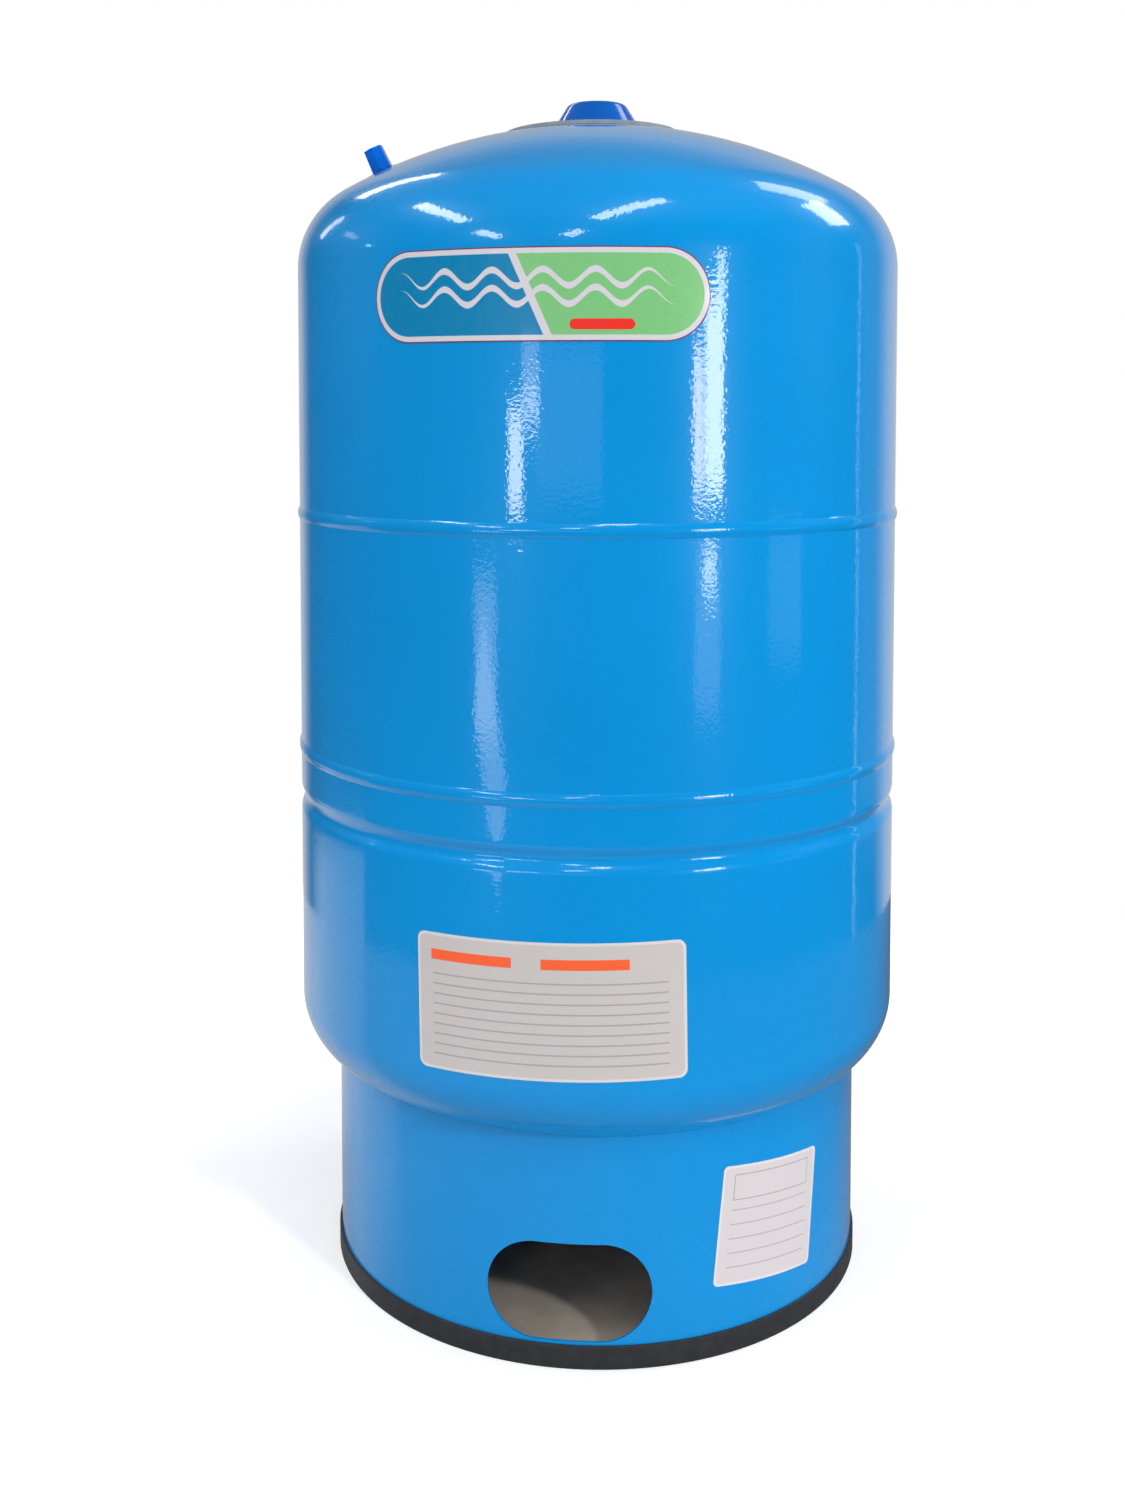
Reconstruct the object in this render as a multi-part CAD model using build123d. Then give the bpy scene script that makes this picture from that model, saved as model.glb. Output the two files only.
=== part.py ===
from build123d import *
from math import asin, atan, cos, degrees, radians, sin, sqrt
import os

# Free-standing diaphragm pressure tank for a household well.
# Millimetres, +Z up. The origin is on the floor, on the tank's axis.
# The hand hole in the skirt faces -Y. Azimuths are turned from -Y towards +X, in degrees.
# Sections are drawn as radius and height, then turned about the tank's axis.

# Pressure vessel
tank_radius = 195.3
shell_thickness = 1.8
crown_radius = 334.2
upper_knuckle = 55.9
lower_knuckle = 40.0
lower_tangent_z = 174.8
wall_height = 469.6
upper_weld_drop = 156.4
lower_weld_rise = 162.9

# Girth weld beads
weld_width = 8.5
weld_height = 1.3
weld_gap = 1.2
root_width = 3.2
root_height = 0.5

# Rolled groove that clenches the diaphragm
groove_rise = 129.7
groove_depth = 2.5
groove_width = 18.0
groove_shoulder = 10.0

# Liner, diaphragm and clench ring, one inside the other
layer_gap = 0.3
liner_thickness = 1.5
diaphragm_thickness = 2.5
diaphragm_ease = 6.0
ring_thickness = 1.8
ring_height = 34.0
rim_rise = 16.0

# Water connection through the bottom of the lower head
neck_bore_radius = 13.0
neck_wall = 3.0
neck_hole_clearance = 0.2
neck_weld_leg = 4.0
flange_radius = 30.0
flange_thickness = 3.0
gasket_radius = 28.0
gasket_thickness = 2.0
diffuser_radius = 26.0
diffuser_height = 13.0
diffuser_wall = 2.0
diffuser_rim = 3.0
diffuser_spigot = 12.0
diffuser_fit = 0.2
diffuser_slots = 12
diffuser_slot_width = 5.0
diffuser_slot_height = 6.0
diaphragm_clearance = 3.0

# Elbow and its female pipe connection, which faces the hand hole
elbow_drop = 45.471
elbow_bend_radius = 27.0
elbow_reach = 62.0
elbow_wall = 4.0
elbow_socket_depth = 9.0
elbow_socket_wall = 3.0
elbow_socket_fit = 0.1
mouth_bore_radius = 15.2
mouth_bore_depth = 20.0
mouth_wall = 5.8
mouth_length = 24.0
mouth_chamfer = 1.2

# Skirt and its hand hole
skirt_inset = 24.2
skirt_thickness = 1.6
hand_hole_width = 96.6
hand_hole_height = 58.0
hand_hole_z = 44.7
skirt_weld_leg = 4.0
skirt_weld_count = 8
skirt_weld_span = 22.0

# Edge trim round the skirt's foot
foot_height = 14.0
foot_floor = 3.0
foot_wall = 1.5
foot_clearance = 0.1
foot_fillet = 1.0

# Cover in the middle of the dome, the disc under it and the boss that holds it
disc_radius = 57.0
disc_thickness = 2.4
disc_seat_gap = 0.1
disc_shift = 4.0
disc_hole_radius = 11.0
boss_radius = 5.0
boss_height = 10.0
boss_chamfer = 0.8
cover_height = 14.9
cover_base_radius = 27.8
cover_top_radius = 18.6
cover_fillet = 5.0
cover_wall = 2.0
cover_hub_wall = 2.2
cover_hub_gap = 1.0
cover_grip = 0.08
cover_seat_gap = 0.3

# Air valve on the shoulder of the dome
valve_inset = 56.3
valve_azimuth = -82.0
valve_hole_clearance = 0.1
stem_spigot_radius = 5.0
stem_spigot_length = 4.0
stem_collar_radius = 6.5
stem_collar_height = 1.0
stem_radius = 3.9
stem_height = 15.0
stem_chamfer = 0.4
stem_port_radius = 0.9
spring_chamber_radius = 1.8
spring_ledge_z = 2.0
core_seat_z = 7.5
core_bore_radius = 2.6
core_clearance = 0.1
core_length = 6.0
core_nose_length = 2.5
core_nose_radius = 2.0
core_pin_hole_radius = 0.9
core_slot_width = 1.0
core_slot_depth = 1.2
pin_radius = 0.5
pin_top_gap = 0.4
pin_tail_z = 3.6
seal_radius = 1.45
seal_thickness = 0.9
seal_gap = 0.05
pin_cup_radius = 1.4
pin_cup_thickness = 0.4
spring_radius = 1.15
spring_wire_radius = 0.16
spring_turns = 5
spring_end_gap = 0.05
valve_disc_radius = 17.0
valve_disc_thickness = 1.0
valve_disc_clearance = 0.3

# Hexagonal cap of the air valve and the O-ring in it
cap_flats_top = 11.8
cap_flats_bottom = 13.0
cap_height = 17.2
cap_foot_height = 2.4
cap_foot_radius = 4.9
cap_edge_radius = 0.5
cap_bore_clearance = 0.3
cap_seat_gap = 0.3
cap_turn = 20.0
o_ring_thickness = 1.4
o_ring_gap = 0.05

# Labels
label_thickness = 0.25
label_gap = 0.45
upper_label_width = 201.2
upper_label_height = 51.8
upper_label_drop = 26.3
upper_label_azimuth = -5.5
lower_label_width = 158.5
lower_label_height = 78.9
lower_label_corner = 5.0
lower_label_rise = 43.7
lower_label_azimuth = -2.8
lower_label_tilt = 1.0
data_label_width = 77.0
data_label_height = 71.0
data_label_corner = 3.0
data_label_z = 72.9
data_label_azimuth = 43.0
data_label_tilt = -6.0

# Sizes that follow from the ones above
upper_tangent_z = lower_tangent_z + wall_height
upper_weld_z = upper_tangent_z - upper_weld_drop
lower_weld_z = lower_tangent_z + lower_weld_rise
groove_z = lower_tangent_z + groove_rise
head_angle_up = degrees(asin((tank_radius - upper_knuckle) / (crown_radius - upper_knuckle)))
head_angle_low = degrees(asin((tank_radius - lower_knuckle) / (crown_radius - lower_knuckle)))
upper_crown_z = upper_tangent_z - (crown_radius - upper_knuckle) * cos(radians(head_angle_up))
lower_crown_z = lower_tangent_z + (crown_radius - lower_knuckle) * cos(radians(head_angle_low))
dome_top_z = upper_crown_z + crown_radius
bowl_low_z = lower_crown_z - crown_radius

groove_angle = 2 * degrees(atan(2 * groove_depth / groove_width))
groove_valley = groove_width / 2 / sin(radians(groove_angle)) - groove_shoulder

liner_inset = shell_thickness + layer_gap
diaphragm_inset = liner_inset + liner_thickness + layer_gap
ring_inset = diaphragm_inset + diaphragm_thickness + layer_gap
diaphragm_knuckle = lower_knuckle - diaphragm_inset - diaphragm_ease
rim_z = groove_z + rim_rise

neck_radius = neck_bore_radius + neck_wall
neck_hole_radius = neck_radius + neck_hole_clearance
liner_face_radius = crown_radius - liner_inset - liner_thickness
flange_z = lower_crown_z - sqrt(liner_face_radius**2 - gasket_radius**2) + gasket_thickness
flange_top_z = flange_z + flange_thickness
diffuser_top_z = flange_top_z + diffuser_height
elbow_axis_z = bowl_low_z - elbow_drop
elbow_socket_z = elbow_axis_z + elbow_bend_radius
neck_end_z = elbow_socket_z + elbow_socket_fit

skirt_radius = tank_radius - skirt_inset

disc_top_radius = crown_radius + disc_seat_gap + disc_thickness
cover_base_z = upper_crown_z + sqrt(disc_top_radius**2 - cover_base_radius**2) + cover_seat_gap
cover_top_z = cover_base_z + cover_height
boss_top_z = dome_top_z + boss_height

valve_lean = degrees(asin((tank_radius - valve_inset) / crown_radius))
valve_disc_top = stem_collar_height + valve_disc_thickness
cap_base_z = valve_disc_top + cap_seat_gap
cap_roof_z = stem_height + o_ring_thickness + 2 * o_ring_gap
core_top_z = core_seat_z + core_length
seal_top_z = core_seat_z - seal_gap
pin_cup_z = seal_top_z - seal_thickness - pin_cup_thickness


def turned(edges):
    """Turn a closed section, drawn as radius and height, about the tank's axis."""
    return revolve(Plane.XZ * make_face(edges), Axis.Z)


def block(r_in, r_out, z_low, z_high):
    """Turn a plain rectangular section."""
    corners = [(r_in, z_low), (r_out, z_low), (r_out, z_high), (r_in, z_high)]
    return turned([Polyline(*corners, close=True)])


def joined(outer, inner):
    """Close two lines of edges that run the same way into one section."""
    ends = [Line(outer[0] @ 0, inner[0] @ 0), Line(outer[-1] @ 1, inner[-1] @ 1)]
    return turned([*outer, *inner, *ends])


def arc(centre, radius, start, end):
    return CenterArc(centre, radius, start, end - start)


def upper_line(inset, rim):
    """The upper head's line at a depth below its outer face, from the rim to the apex."""
    wall = tank_radius - inset
    knuckle_centre = (tank_radius - upper_knuckle, upper_tangent_z)
    return [
        Line((wall, rim), (wall, upper_tangent_z)),
        arc(knuckle_centre, upper_knuckle - inset, 0, 90 - head_angle_up),
        arc((0, upper_crown_z), crown_radius - inset, 90 - head_angle_up, 90),
    ]


def groove_line(inset, top, bottom):
    """The wall's line through the rolled groove, from the top down."""
    wall = tank_radius - inset
    shoulder = groove_shoulder - inset
    shoulder_x = tank_radius - groove_shoulder
    valley_x = tank_radius - groove_depth + groove_valley
    high = groove_z + groove_width / 2
    low = groove_z - groove_width / 2
    return [
        Line((wall, top), (wall, high)),
        arc((shoulder_x, high), shoulder, 0, -groove_angle),
        arc((valley_x, groove_z), groove_valley + inset, 180 - groove_angle, 180 + groove_angle),
        arc((shoulder_x, low), shoulder, groove_angle, 0),
        Line((wall, low), (wall, bottom)),
    ]


def bowl_line(inset, knuckle, crown, crown_z, angle):
    """The line of a bowl below the lower tangent, from the wall to the axis."""
    knuckle_centre = (tank_radius - inset - knuckle, lower_tangent_z)
    return [
        arc(knuckle_centre, knuckle, 0, angle - 90),
        arc((0, crown_z), crown, angle - 90, -90),
    ]


def lower_line(inset, rim):
    """The lower head's line at a depth below its outer face, from the rim to the axis."""
    bowl = bowl_line(
        inset, lower_knuckle - inset, crown_radius - inset, lower_crown_z, head_angle_low
    )
    return groove_line(inset, rim, lower_tangent_z) + bowl


def shoulder_frame():
    """A plane on the dome where the air valve stands, with its normal outwards."""
    lean, turn = radians(valve_lean), radians(valve_azimuth)
    normal = Vector(sin(lean) * sin(turn), -sin(lean) * cos(turn), cos(lean))
    foot = Vector(0, 0, upper_crown_z) + normal * crown_radius
    return Plane(origin=foot, x_dir=(cos(turn), sin(turn), 0), z_dir=normal)


def dome_ball(radius):
    return Pos(0, 0, upper_crown_z) * Sphere(radius)


def bowl_solid():
    """The lower head's outer form as a solid, to trim what is fixed under it."""
    bowl = bowl_line(0, lower_knuckle, crown_radius, lower_crown_z, head_angle_low)
    lid = Polyline((0, bowl_low_z), (0, lower_tangent_z), (tank_radius, lower_tangent_z))
    return turned([*bowl, lid])


def bowl_height(radius):
    """How high the lower head's outer face lies at a radius."""
    knuckle_x = tank_radius - lower_knuckle
    if radius > knuckle_x + lower_knuckle * sin(radians(head_angle_low)):
        return lower_tangent_z - sqrt(lower_knuckle**2 - (radius - knuckle_x) ** 2)
    return lower_crown_z - sqrt(crown_radius**2 - radius**2)


def neck_hole():
    """What the lower head and the liner lose where the neck passes through them."""
    return block(0, neck_hole_radius, neck_end_z, flange_top_z)


def bead_section(radius, reach, leg):
    """A fillet weld between the lower head and a wall at a radius, reaching in or out."""
    corner = bowl_height(radius)
    toe = bowl_height(radius + reach)
    return make_face(Polyline(
        (radius, corner - leg), (radius + reach, toe), (radius + reach, corner + leg),
        (radius, corner + leg), close=True,
    ))


def upper_head():
    rim = upper_weld_z + weld_gap / 2
    dome = joined(upper_line(0, rim), upper_line(shell_thickness, rim))
    hole = Cylinder(stem_spigot_radius + valve_hole_clearance, 2 * stem_spigot_length)
    return dome - shoulder_frame() * hole


def middle_band():
    half_gap = weld_gap / 2
    wall = tank_radius - shell_thickness
    return block(wall, tank_radius, lower_weld_z + half_gap, upper_weld_z - half_gap)


def lower_head():
    rim = lower_weld_z - weld_gap / 2
    bowl = joined(lower_line(0, rim), lower_line(shell_thickness, rim))
    return bowl - neck_hole()


def girth_weld(height):
    """A bead proud of the wall outside, filling the gap, with its root showing inside."""
    inside = tank_radius - shell_thickness
    half, gap, root = weld_width / 2, weld_gap / 2, root_width / 2
    steps = [(inside, -root), (inside, -gap), (tank_radius, -gap), (tank_radius, -half)]
    lower = [(x, height + z) for x, z in steps]
    upper = [(x, height - z) for x, z in steps]
    crest = (tank_radius + weld_height, height)
    root_crest = (inside - root_height, height)
    return turned([
        Polyline(*lower),
        ThreePointArc(lower[-1], crest, upper[-1]),
        Polyline(*upper),
        ThreePointArc(lower[0], root_crest, upper[0]),
    ])


def liner():
    shell = joined(
        lower_line(liner_inset, rim_z), lower_line(liner_inset + liner_thickness, rim_z)
    )
    return shell - neck_hole()


def diaphragm_line(inset):
    """The diaphragm hangs free of the diffuser, so its bowl is shallower than the liner's."""
    wall = tank_radius - diaphragm_inset
    low_z = diffuser_top_z + diaphragm_clearance
    drop = lower_tangent_z - low_z - diaphragm_knuckle
    reach = wall - diaphragm_knuckle
    crown = (drop**2 + reach**2) / (2 * drop) + diaphragm_knuckle
    angle = degrees(asin(reach / (crown - diaphragm_knuckle)))
    depth = inset - diaphragm_inset
    bowl = bowl_line(inset, diaphragm_knuckle - depth, crown - depth, low_z + crown, angle)
    return groove_line(inset, rim_z, lower_tangent_z) + bowl


def diaphragm():
    outer = diaphragm_line(diaphragm_inset)
    inner = diaphragm_line(diaphragm_inset + diaphragm_thickness)
    return joined(outer, inner)


def clench_ring():
    top, bottom = groove_z + ring_height / 2, groove_z - ring_height / 2
    outer = groove_line(ring_inset, top, bottom)
    inner = groove_line(ring_inset + ring_thickness, top, bottom)
    return joined(outer, inner)


def outlet_neck():
    tube = block(neck_bore_radius, neck_radius, neck_end_z, flange_top_z)
    return tube + block(neck_radius, flange_radius, flange_z, flange_top_z)


def neck_gasket():
    """A washer that is flat above and follows the liner below."""
    washer = block(neck_hole_radius, gasket_radius, bowl_low_z, flange_z)
    return washer & Pos(0, 0, lower_crown_z) * Sphere(liner_face_radius)


def diffuser():
    """A cup over the port, with a spigot in the neck and slots round its side."""
    floor = flange_top_z
    cup = block(0, diffuser_radius, floor, diffuser_top_z)
    cup = fillet(cup.edges().group_by(Axis.Z)[-1], diffuser_rim)
    spigot_radius = neck_bore_radius - diffuser_fit
    bore = spigot_radius - diffuser_wall
    cup += block(0, spigot_radius, floor - diffuser_spigot, floor)
    cup -= block(0, diffuser_radius - diffuser_wall, floor + diffuser_wall,
                 diffuser_top_z - diffuser_wall)
    cup -= block(0, bore, floor - diffuser_spigot, floor + diffuser_wall)
    slot = Box(diffuser_radius, diffuser_slot_width, diffuser_slot_height)
    slot_z = floor + diffuser_wall + diffuser_slot_height / 2
    return cup - Pos(0, 0, slot_z) * PolarLocations(diffuser_radius, diffuser_slots) * slot


def neck_weld():
    section = bead_section(neck_radius, neck_weld_leg, neck_weld_leg)
    return revolve(Plane.XZ * section, Axis.Z) - bowl_solid()


def elbow_bar(radius, top_z):
    """A round bar along the elbow, from a height on the tank's axis out to the mouth."""
    start, turn = (0, top_z), (0, elbow_socket_z)
    path = Line(start, turn) + JernArc(turn, (0, -1), elbow_bend_radius, -90)
    path += Line((-elbow_bend_radius, elbow_axis_z), (-elbow_reach, elbow_axis_z))
    return sweep(Pos(0, 0, top_z) * Circle(radius), Plane.YZ * path)


def outlet_elbow():
    """A bent tube with a socket round the neck and a thick mouth for the pipe."""
    socket_top = elbow_socket_z + elbow_socket_depth
    socket_radius = neck_radius + elbow_socket_fit
    body = elbow_bar(neck_bore_radius + elbow_wall, socket_top)
    body += block(0, socket_radius + elbow_socket_wall, elbow_socket_z, socket_top)
    mouth = Plane(origin=(0, -elbow_reach, elbow_axis_z), z_dir=(0, -1, 0))
    outward = (Align.CENTER, Align.CENTER, Align.MAX)
    rim = Cylinder(mouth_bore_radius + mouth_wall, mouth_length, align=outward)
    body += mouth * chamfer(rim.edges().filter_by(GeomType.CIRCLE), mouth_chamfer)
    body -= elbow_bar(neck_bore_radius, socket_top)
    body -= block(0, socket_radius, elbow_socket_z, socket_top)
    return body - mouth * Cylinder(mouth_bore_radius, mouth_bore_depth, align=outward)


def skirt():
    """A rolled ring cut to the bowl above, with the hand hole punched through its front."""
    inside = skirt_radius - skirt_thickness
    ring = block(inside, skirt_radius, foot_floor, lower_tangent_z) - bowl_solid()
    front = Plane(origin=(0, 0, hand_hole_z), x_dir=(1, 0, 0), z_dir=(0, -1, 0))
    outline = front * SlotOverall(hand_hole_width, hand_hole_height)
    return ring - extrude(outline, skirt_radius + skirt_thickness)


def skirt_welds():
    """Short fillet welds in the corner between the skirt's inner face and the bowl."""
    inside = skirt_radius - skirt_thickness
    section = Plane.XZ * bead_section(inside, -skirt_weld_leg, skirt_weld_leg)
    stitch = revolve(section, Axis.Z, revolution_arc=skirt_weld_span) - bowl_solid()
    step = 360 / skirt_weld_count
    return Compound([Rot(0, 0, step * k) * stitch.solid() for k in range(skirt_weld_count)])


def foot_ring():
    """A U-shaped trim that takes the skirt's lower edge in its groove."""
    outside = skirt_radius + foot_clearance + foot_wall
    groove_out = skirt_radius + foot_clearance
    groove_in = skirt_radius - skirt_thickness - foot_clearance
    inside = groove_in - foot_wall
    section = make_face(Polyline(
        (inside, 0), (outside, 0), (outside, foot_height), (groove_out, foot_height),
        (groove_out, foot_floor), (groove_in, foot_floor), (groove_in, foot_height),
        (inside, foot_height), close=True,
    ))
    section = fillet(section.vertices().group_by(Axis.Y)[0], foot_fillet)
    return revolve(Plane.XZ * section, Axis.Z)


def top_boss():
    stud = block(0, boss_radius, dome_top_z - boss_chamfer, boss_top_z)
    stud = chamfer(stud.edges().group_by(Axis.Z)[-1], boss_chamfer)
    return stud - dome_ball(crown_radius)


def top_disc():
    """A disc that lies on the dome, a little off the middle."""
    shell = dome_ball(disc_top_radius) - dome_ball(crown_radius + disc_seat_gap)
    disc = shell & block(disc_hole_radius, disc_radius, upper_crown_z, cover_top_z)
    swing = degrees(asin(disc_shift / crown_radius))
    centre = Pos(0, 0, upper_crown_z)
    return centre * Rot(0, -swing, 0) * centre.inverse() * disc


def cover_cone(wall):
    """The cover's form at a depth below its outer face."""
    height = cover_height - wall
    cone = Pos(0, 0, cover_base_z) * Cone(
        cover_base_radius - wall, cover_top_radius - wall, height,
        align=(Align.CENTER, Align.CENTER, Align.MIN),
    )
    return fillet(cone.edges().group_by(Axis.Z)[-1], cover_fillet - wall)


def top_cap():
    """A hollow cone with a hub inside that grips the boss."""
    shell = cover_cone(0) - cover_cone(cover_wall)
    bore = boss_radius + cover_grip
    hub_end = upper_crown_z + disc_top_radius + cover_hub_gap
    return shell + block(bore, bore + cover_hub_wall, hub_end, cover_top_z - cover_wall)


def valve_ball():
    """The dome's ball in the valve's own frame, which starts on the dome's outer face."""
    return Pos(0, 0, -crown_radius) * Sphere(crown_radius)


def valve_stem():
    """A welded collar and stem with a spigot through the head, bored in three steps."""
    stem = block(0, stem_radius, 0, stem_height)
    stem = chamfer(stem.edges().group_by(Axis.Z)[-1], stem_chamfer)
    stem += block(0, stem_collar_radius, -stem_collar_height, stem_collar_height)
    stem -= valve_ball()
    stem += block(0, stem_spigot_radius, -stem_spigot_length, stem_collar_height)
    stem -= block(0, stem_port_radius, -stem_spigot_length, spring_ledge_z)
    stem -= block(0, spring_chamber_radius, spring_ledge_z, core_seat_z)
    return stem - block(0, core_bore_radius, core_seat_z, stem_height)


def valve_core():
    """A screwed plug with a tapered nose on the seat, a pin hole and a key slot."""
    plug_radius = core_bore_radius - core_clearance
    nose_top = core_seat_z + core_nose_length
    plug = block(0, plug_radius, nose_top, core_top_z)
    plug += Pos(0, 0, core_seat_z) * Cone(
        core_nose_radius, plug_radius, core_nose_length,
        align=(Align.CENTER, Align.CENTER, Align.MIN),
    )
    plug -= block(0, core_pin_hole_radius, core_seat_z, core_top_z)
    return plug - Pos(0, 0, core_top_z) * Box(2 * plug_radius, core_slot_width, core_slot_depth)


def valve_seal():
    return block(pin_radius, seal_radius, seal_top_z - seal_thickness, seal_top_z)


def valve_pin():
    """The pin runs through the core, with a cup that carries the seal on the spring."""
    pin = block(0, pin_radius, pin_tail_z, stem_height - pin_top_gap)
    return pin + block(0, pin_cup_radius, pin_cup_z, seal_top_z - seal_thickness)


def valve_spring():
    start = spring_ledge_z + spring_end_gap + spring_wire_radius
    height = pin_cup_z - spring_end_gap - spring_wire_radius - start
    coil = Pos(0, 0, start) * Helix(height / spring_turns, height, spring_radius)
    wire = Plane(coil @ 0, z_dir=coil % 0) * Circle(spring_wire_radius)
    return sweep(wire, coil, is_frenet=True)


def valve_disc():
    hole = stem_radius + valve_disc_clearance
    return block(hole, valve_disc_radius, stem_collar_height, valve_disc_top)


def hexagon(flats, height):
    return Pos(0, 0, height) * RegularPolygon(flats / 2, 6, major_radius=False)


def valve_cap():
    """A tapered hexagonal cap with a cone at its foot, bored for the stem."""
    corner = cap_flats_bottom / 2 / cos(radians(30))
    top = cap_base_z + cap_height
    body = loft([hexagon(cap_flats_bottom, cap_base_z), hexagon(cap_flats_top, top)])
    body = fillet(body.edges().group_by(Axis.Z)[-1], cap_edge_radius)
    foot_top = cap_base_z + cap_foot_height
    body &= turned([Polyline(
        (0, cap_base_z), (cap_foot_radius, cap_base_z), (corner, foot_top), (corner, top),
        (0, top), close=True,
    )])
    body -= block(0, stem_radius + cap_bore_clearance, cap_base_z, cap_roof_z)
    return Rot(0, 0, cap_turn) * body


def cap_o_ring():
    ring_radius = stem_radius + cap_bore_clearance - o_ring_gap - o_ring_thickness / 2
    centre_z = stem_height + o_ring_gap + o_ring_thickness / 2
    return Pos(0, 0, centre_z) * Torus(ring_radius, o_ring_thickness / 2)


def seen_from_front(length, radius):
    """How far a length that is wrapped round a wall reaches when seen from in front."""
    return radius * sin(length / radius)


def label(outline, radius, height, azimuth):
    """A film on a wall, cut to its outline as seen from straight in front of it."""
    front = Plane(origin=(0, 0, height), x_dir=(1, 0, 0), z_dir=(0, -1, 0))
    cutter = extrude(front * outline, 2 * radius)
    inside = radius + label_gap
    low, high = height - tank_radius / 2, height + tank_radius / 2
    film = block(inside, inside + label_thickness, low, high) & cutter
    return Rot(0, 0, azimuth) * film


def square_label(width, height, corner, tilt, radius):
    """The outline of a label with four rounded corners, a little askew."""
    width_seen = 2 * seen_from_front(width / 2, radius)
    return Rot(0, 0, tilt) * RectangleRounded(width_seen, height, corner)


def upper_label():
    """A long pill, whose round ends look narrower because they turn away."""
    half_height = upper_label_height / 2
    straight = seen_from_front(upper_label_width / 2 - half_height, tank_radius)
    end = seen_from_front(upper_label_width / 2, tank_radius) - straight
    outline = Rectangle(2 * straight, upper_label_height)
    for side in (-straight, straight):
        outline += Pos(side, 0) * Ellipse(end, half_height)
    return label(
        outline, tank_radius, upper_tangent_z - upper_label_drop, upper_label_azimuth
    )


def lower_label():
    outline = square_label(
        lower_label_width, lower_label_height, lower_label_corner, lower_label_tilt, tank_radius
    )
    return label(
        outline, tank_radius, lower_tangent_z + lower_label_rise, lower_label_azimuth
    )


def data_label():
    outline = square_label(
        data_label_width, data_label_height, data_label_corner, data_label_tilt, skirt_radius
    )
    return label(outline, skirt_radius, data_label_z, data_label_azimuth)


# Pieces drawn in the tank's frame, and those drawn in the valve's own frame
tank_pieces = [
    upper_head, middle_band, lower_head, liner, diaphragm, clench_ring,
    outlet_neck, neck_gasket, neck_weld, diffuser, outlet_elbow,
    skirt, skirt_welds, foot_ring, top_boss, top_disc, top_cap,
    upper_label, lower_label, data_label,
]
valve_pieces = [
    valve_disc, valve_stem, valve_core, valve_seal, valve_pin, valve_spring,
    valve_cap, cap_o_ring,
]

parts = {piece.__name__: piece() for piece in tank_pieces}
parts["upper_girth_weld"] = girth_weld(upper_weld_z)
parts["lower_girth_weld"] = girth_weld(lower_weld_z)
for piece in valve_pieces:
    parts[piece.__name__] = shoulder_frame() * piece()

os.makedirs("parts", exist_ok=True)
for name, shape in parts.items():
    export_step(shape, f"parts/{name}.step")
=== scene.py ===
from math import asin, atan, cos, degrees, hypot, pi, radians, sin, sqrt, tan

import bmesh
import bpy
from mathutils import Matrix, Vector, noise


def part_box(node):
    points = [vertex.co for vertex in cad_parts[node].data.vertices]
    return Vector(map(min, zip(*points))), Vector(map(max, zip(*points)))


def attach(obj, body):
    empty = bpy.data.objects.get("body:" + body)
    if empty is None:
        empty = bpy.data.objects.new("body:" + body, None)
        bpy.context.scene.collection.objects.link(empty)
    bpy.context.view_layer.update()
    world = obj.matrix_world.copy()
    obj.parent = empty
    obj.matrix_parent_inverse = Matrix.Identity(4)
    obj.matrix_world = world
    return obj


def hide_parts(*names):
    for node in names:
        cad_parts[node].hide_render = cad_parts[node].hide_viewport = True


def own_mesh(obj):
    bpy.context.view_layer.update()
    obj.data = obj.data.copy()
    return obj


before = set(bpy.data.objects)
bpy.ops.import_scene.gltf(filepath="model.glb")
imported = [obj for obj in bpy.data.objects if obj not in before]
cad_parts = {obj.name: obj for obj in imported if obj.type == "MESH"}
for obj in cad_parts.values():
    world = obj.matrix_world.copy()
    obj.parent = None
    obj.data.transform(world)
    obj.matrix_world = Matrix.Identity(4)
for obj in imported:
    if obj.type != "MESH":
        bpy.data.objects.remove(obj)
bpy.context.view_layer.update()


# The upper head is a dome deep-drawn from 1.8 mm steel sheet: a shallow crown, a rounded
# knuckle and a short straight rim. Like the whole vessel it is sprayed with glossy blue
# enamel that is baked hard, and keeps the faint skin of orange peel that sprayed paint has.

wall_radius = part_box("middle_band")[1].x
sheet = 0.0018
crown_radius = 0.3342
dome_knuckle = 0.0559
dome_shoulder = 0.6444
turning_steps = 288
quarter_turn = 90
crease_angle = radians(32)
seam_gap = 1e-6
cloud_scale, smear_scale, wave_scale, peel_scale = 7.0, 45.0, 22.0, 480.0
wave_depth, peel_depth = 0.0001, 0.000045
enamel_rough = (0.26, 0.3)
deep_blue, bright_blue = (0.0, 0.25, 0.63), (0.0, 0.268, 0.67)


def pen_down(mesh, radius, height):
    """Start a section at a radius and a height."""
    return mesh.verts.new((radius, 0, height))


def line_to(mesh, tip, radius, height, steps=1):
    """Carry the section on in a straight line."""
    start, end = tip.co.copy(), Vector((radius, 0, height))
    for step in range(steps):
        tip = bmesh.ops.extrude_vert_indiv(mesh, verts=[tip])["verts"][0]
        tip.co = start.lerp(end, (step + 1) / steps)
    return tip


def lines_to(mesh, tip, *corners):
    """Carry the section on through several corners, each a radius and a height."""
    for radius, height in corners:
        tip = line_to(mesh, tip, radius, height)
    return tip


def points_of(parts):
    return [part for part in parts if isinstance(part, bmesh.types.BMVert)]


def bend_by(mesh, tip, centre, turn, steps):
    """Carry the section on round a centre, anticlockwise for a positive turn in degrees."""
    swept = bmesh.ops.spin(
        mesh, geom=[tip], cent=(centre[0], 0, centre[1]), axis=(0, -1, 0),
        dvec=(0, 0, 0), angle=radians(turn), steps=steps,
    )
    return points_of(swept["geom_last"])[0]


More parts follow.
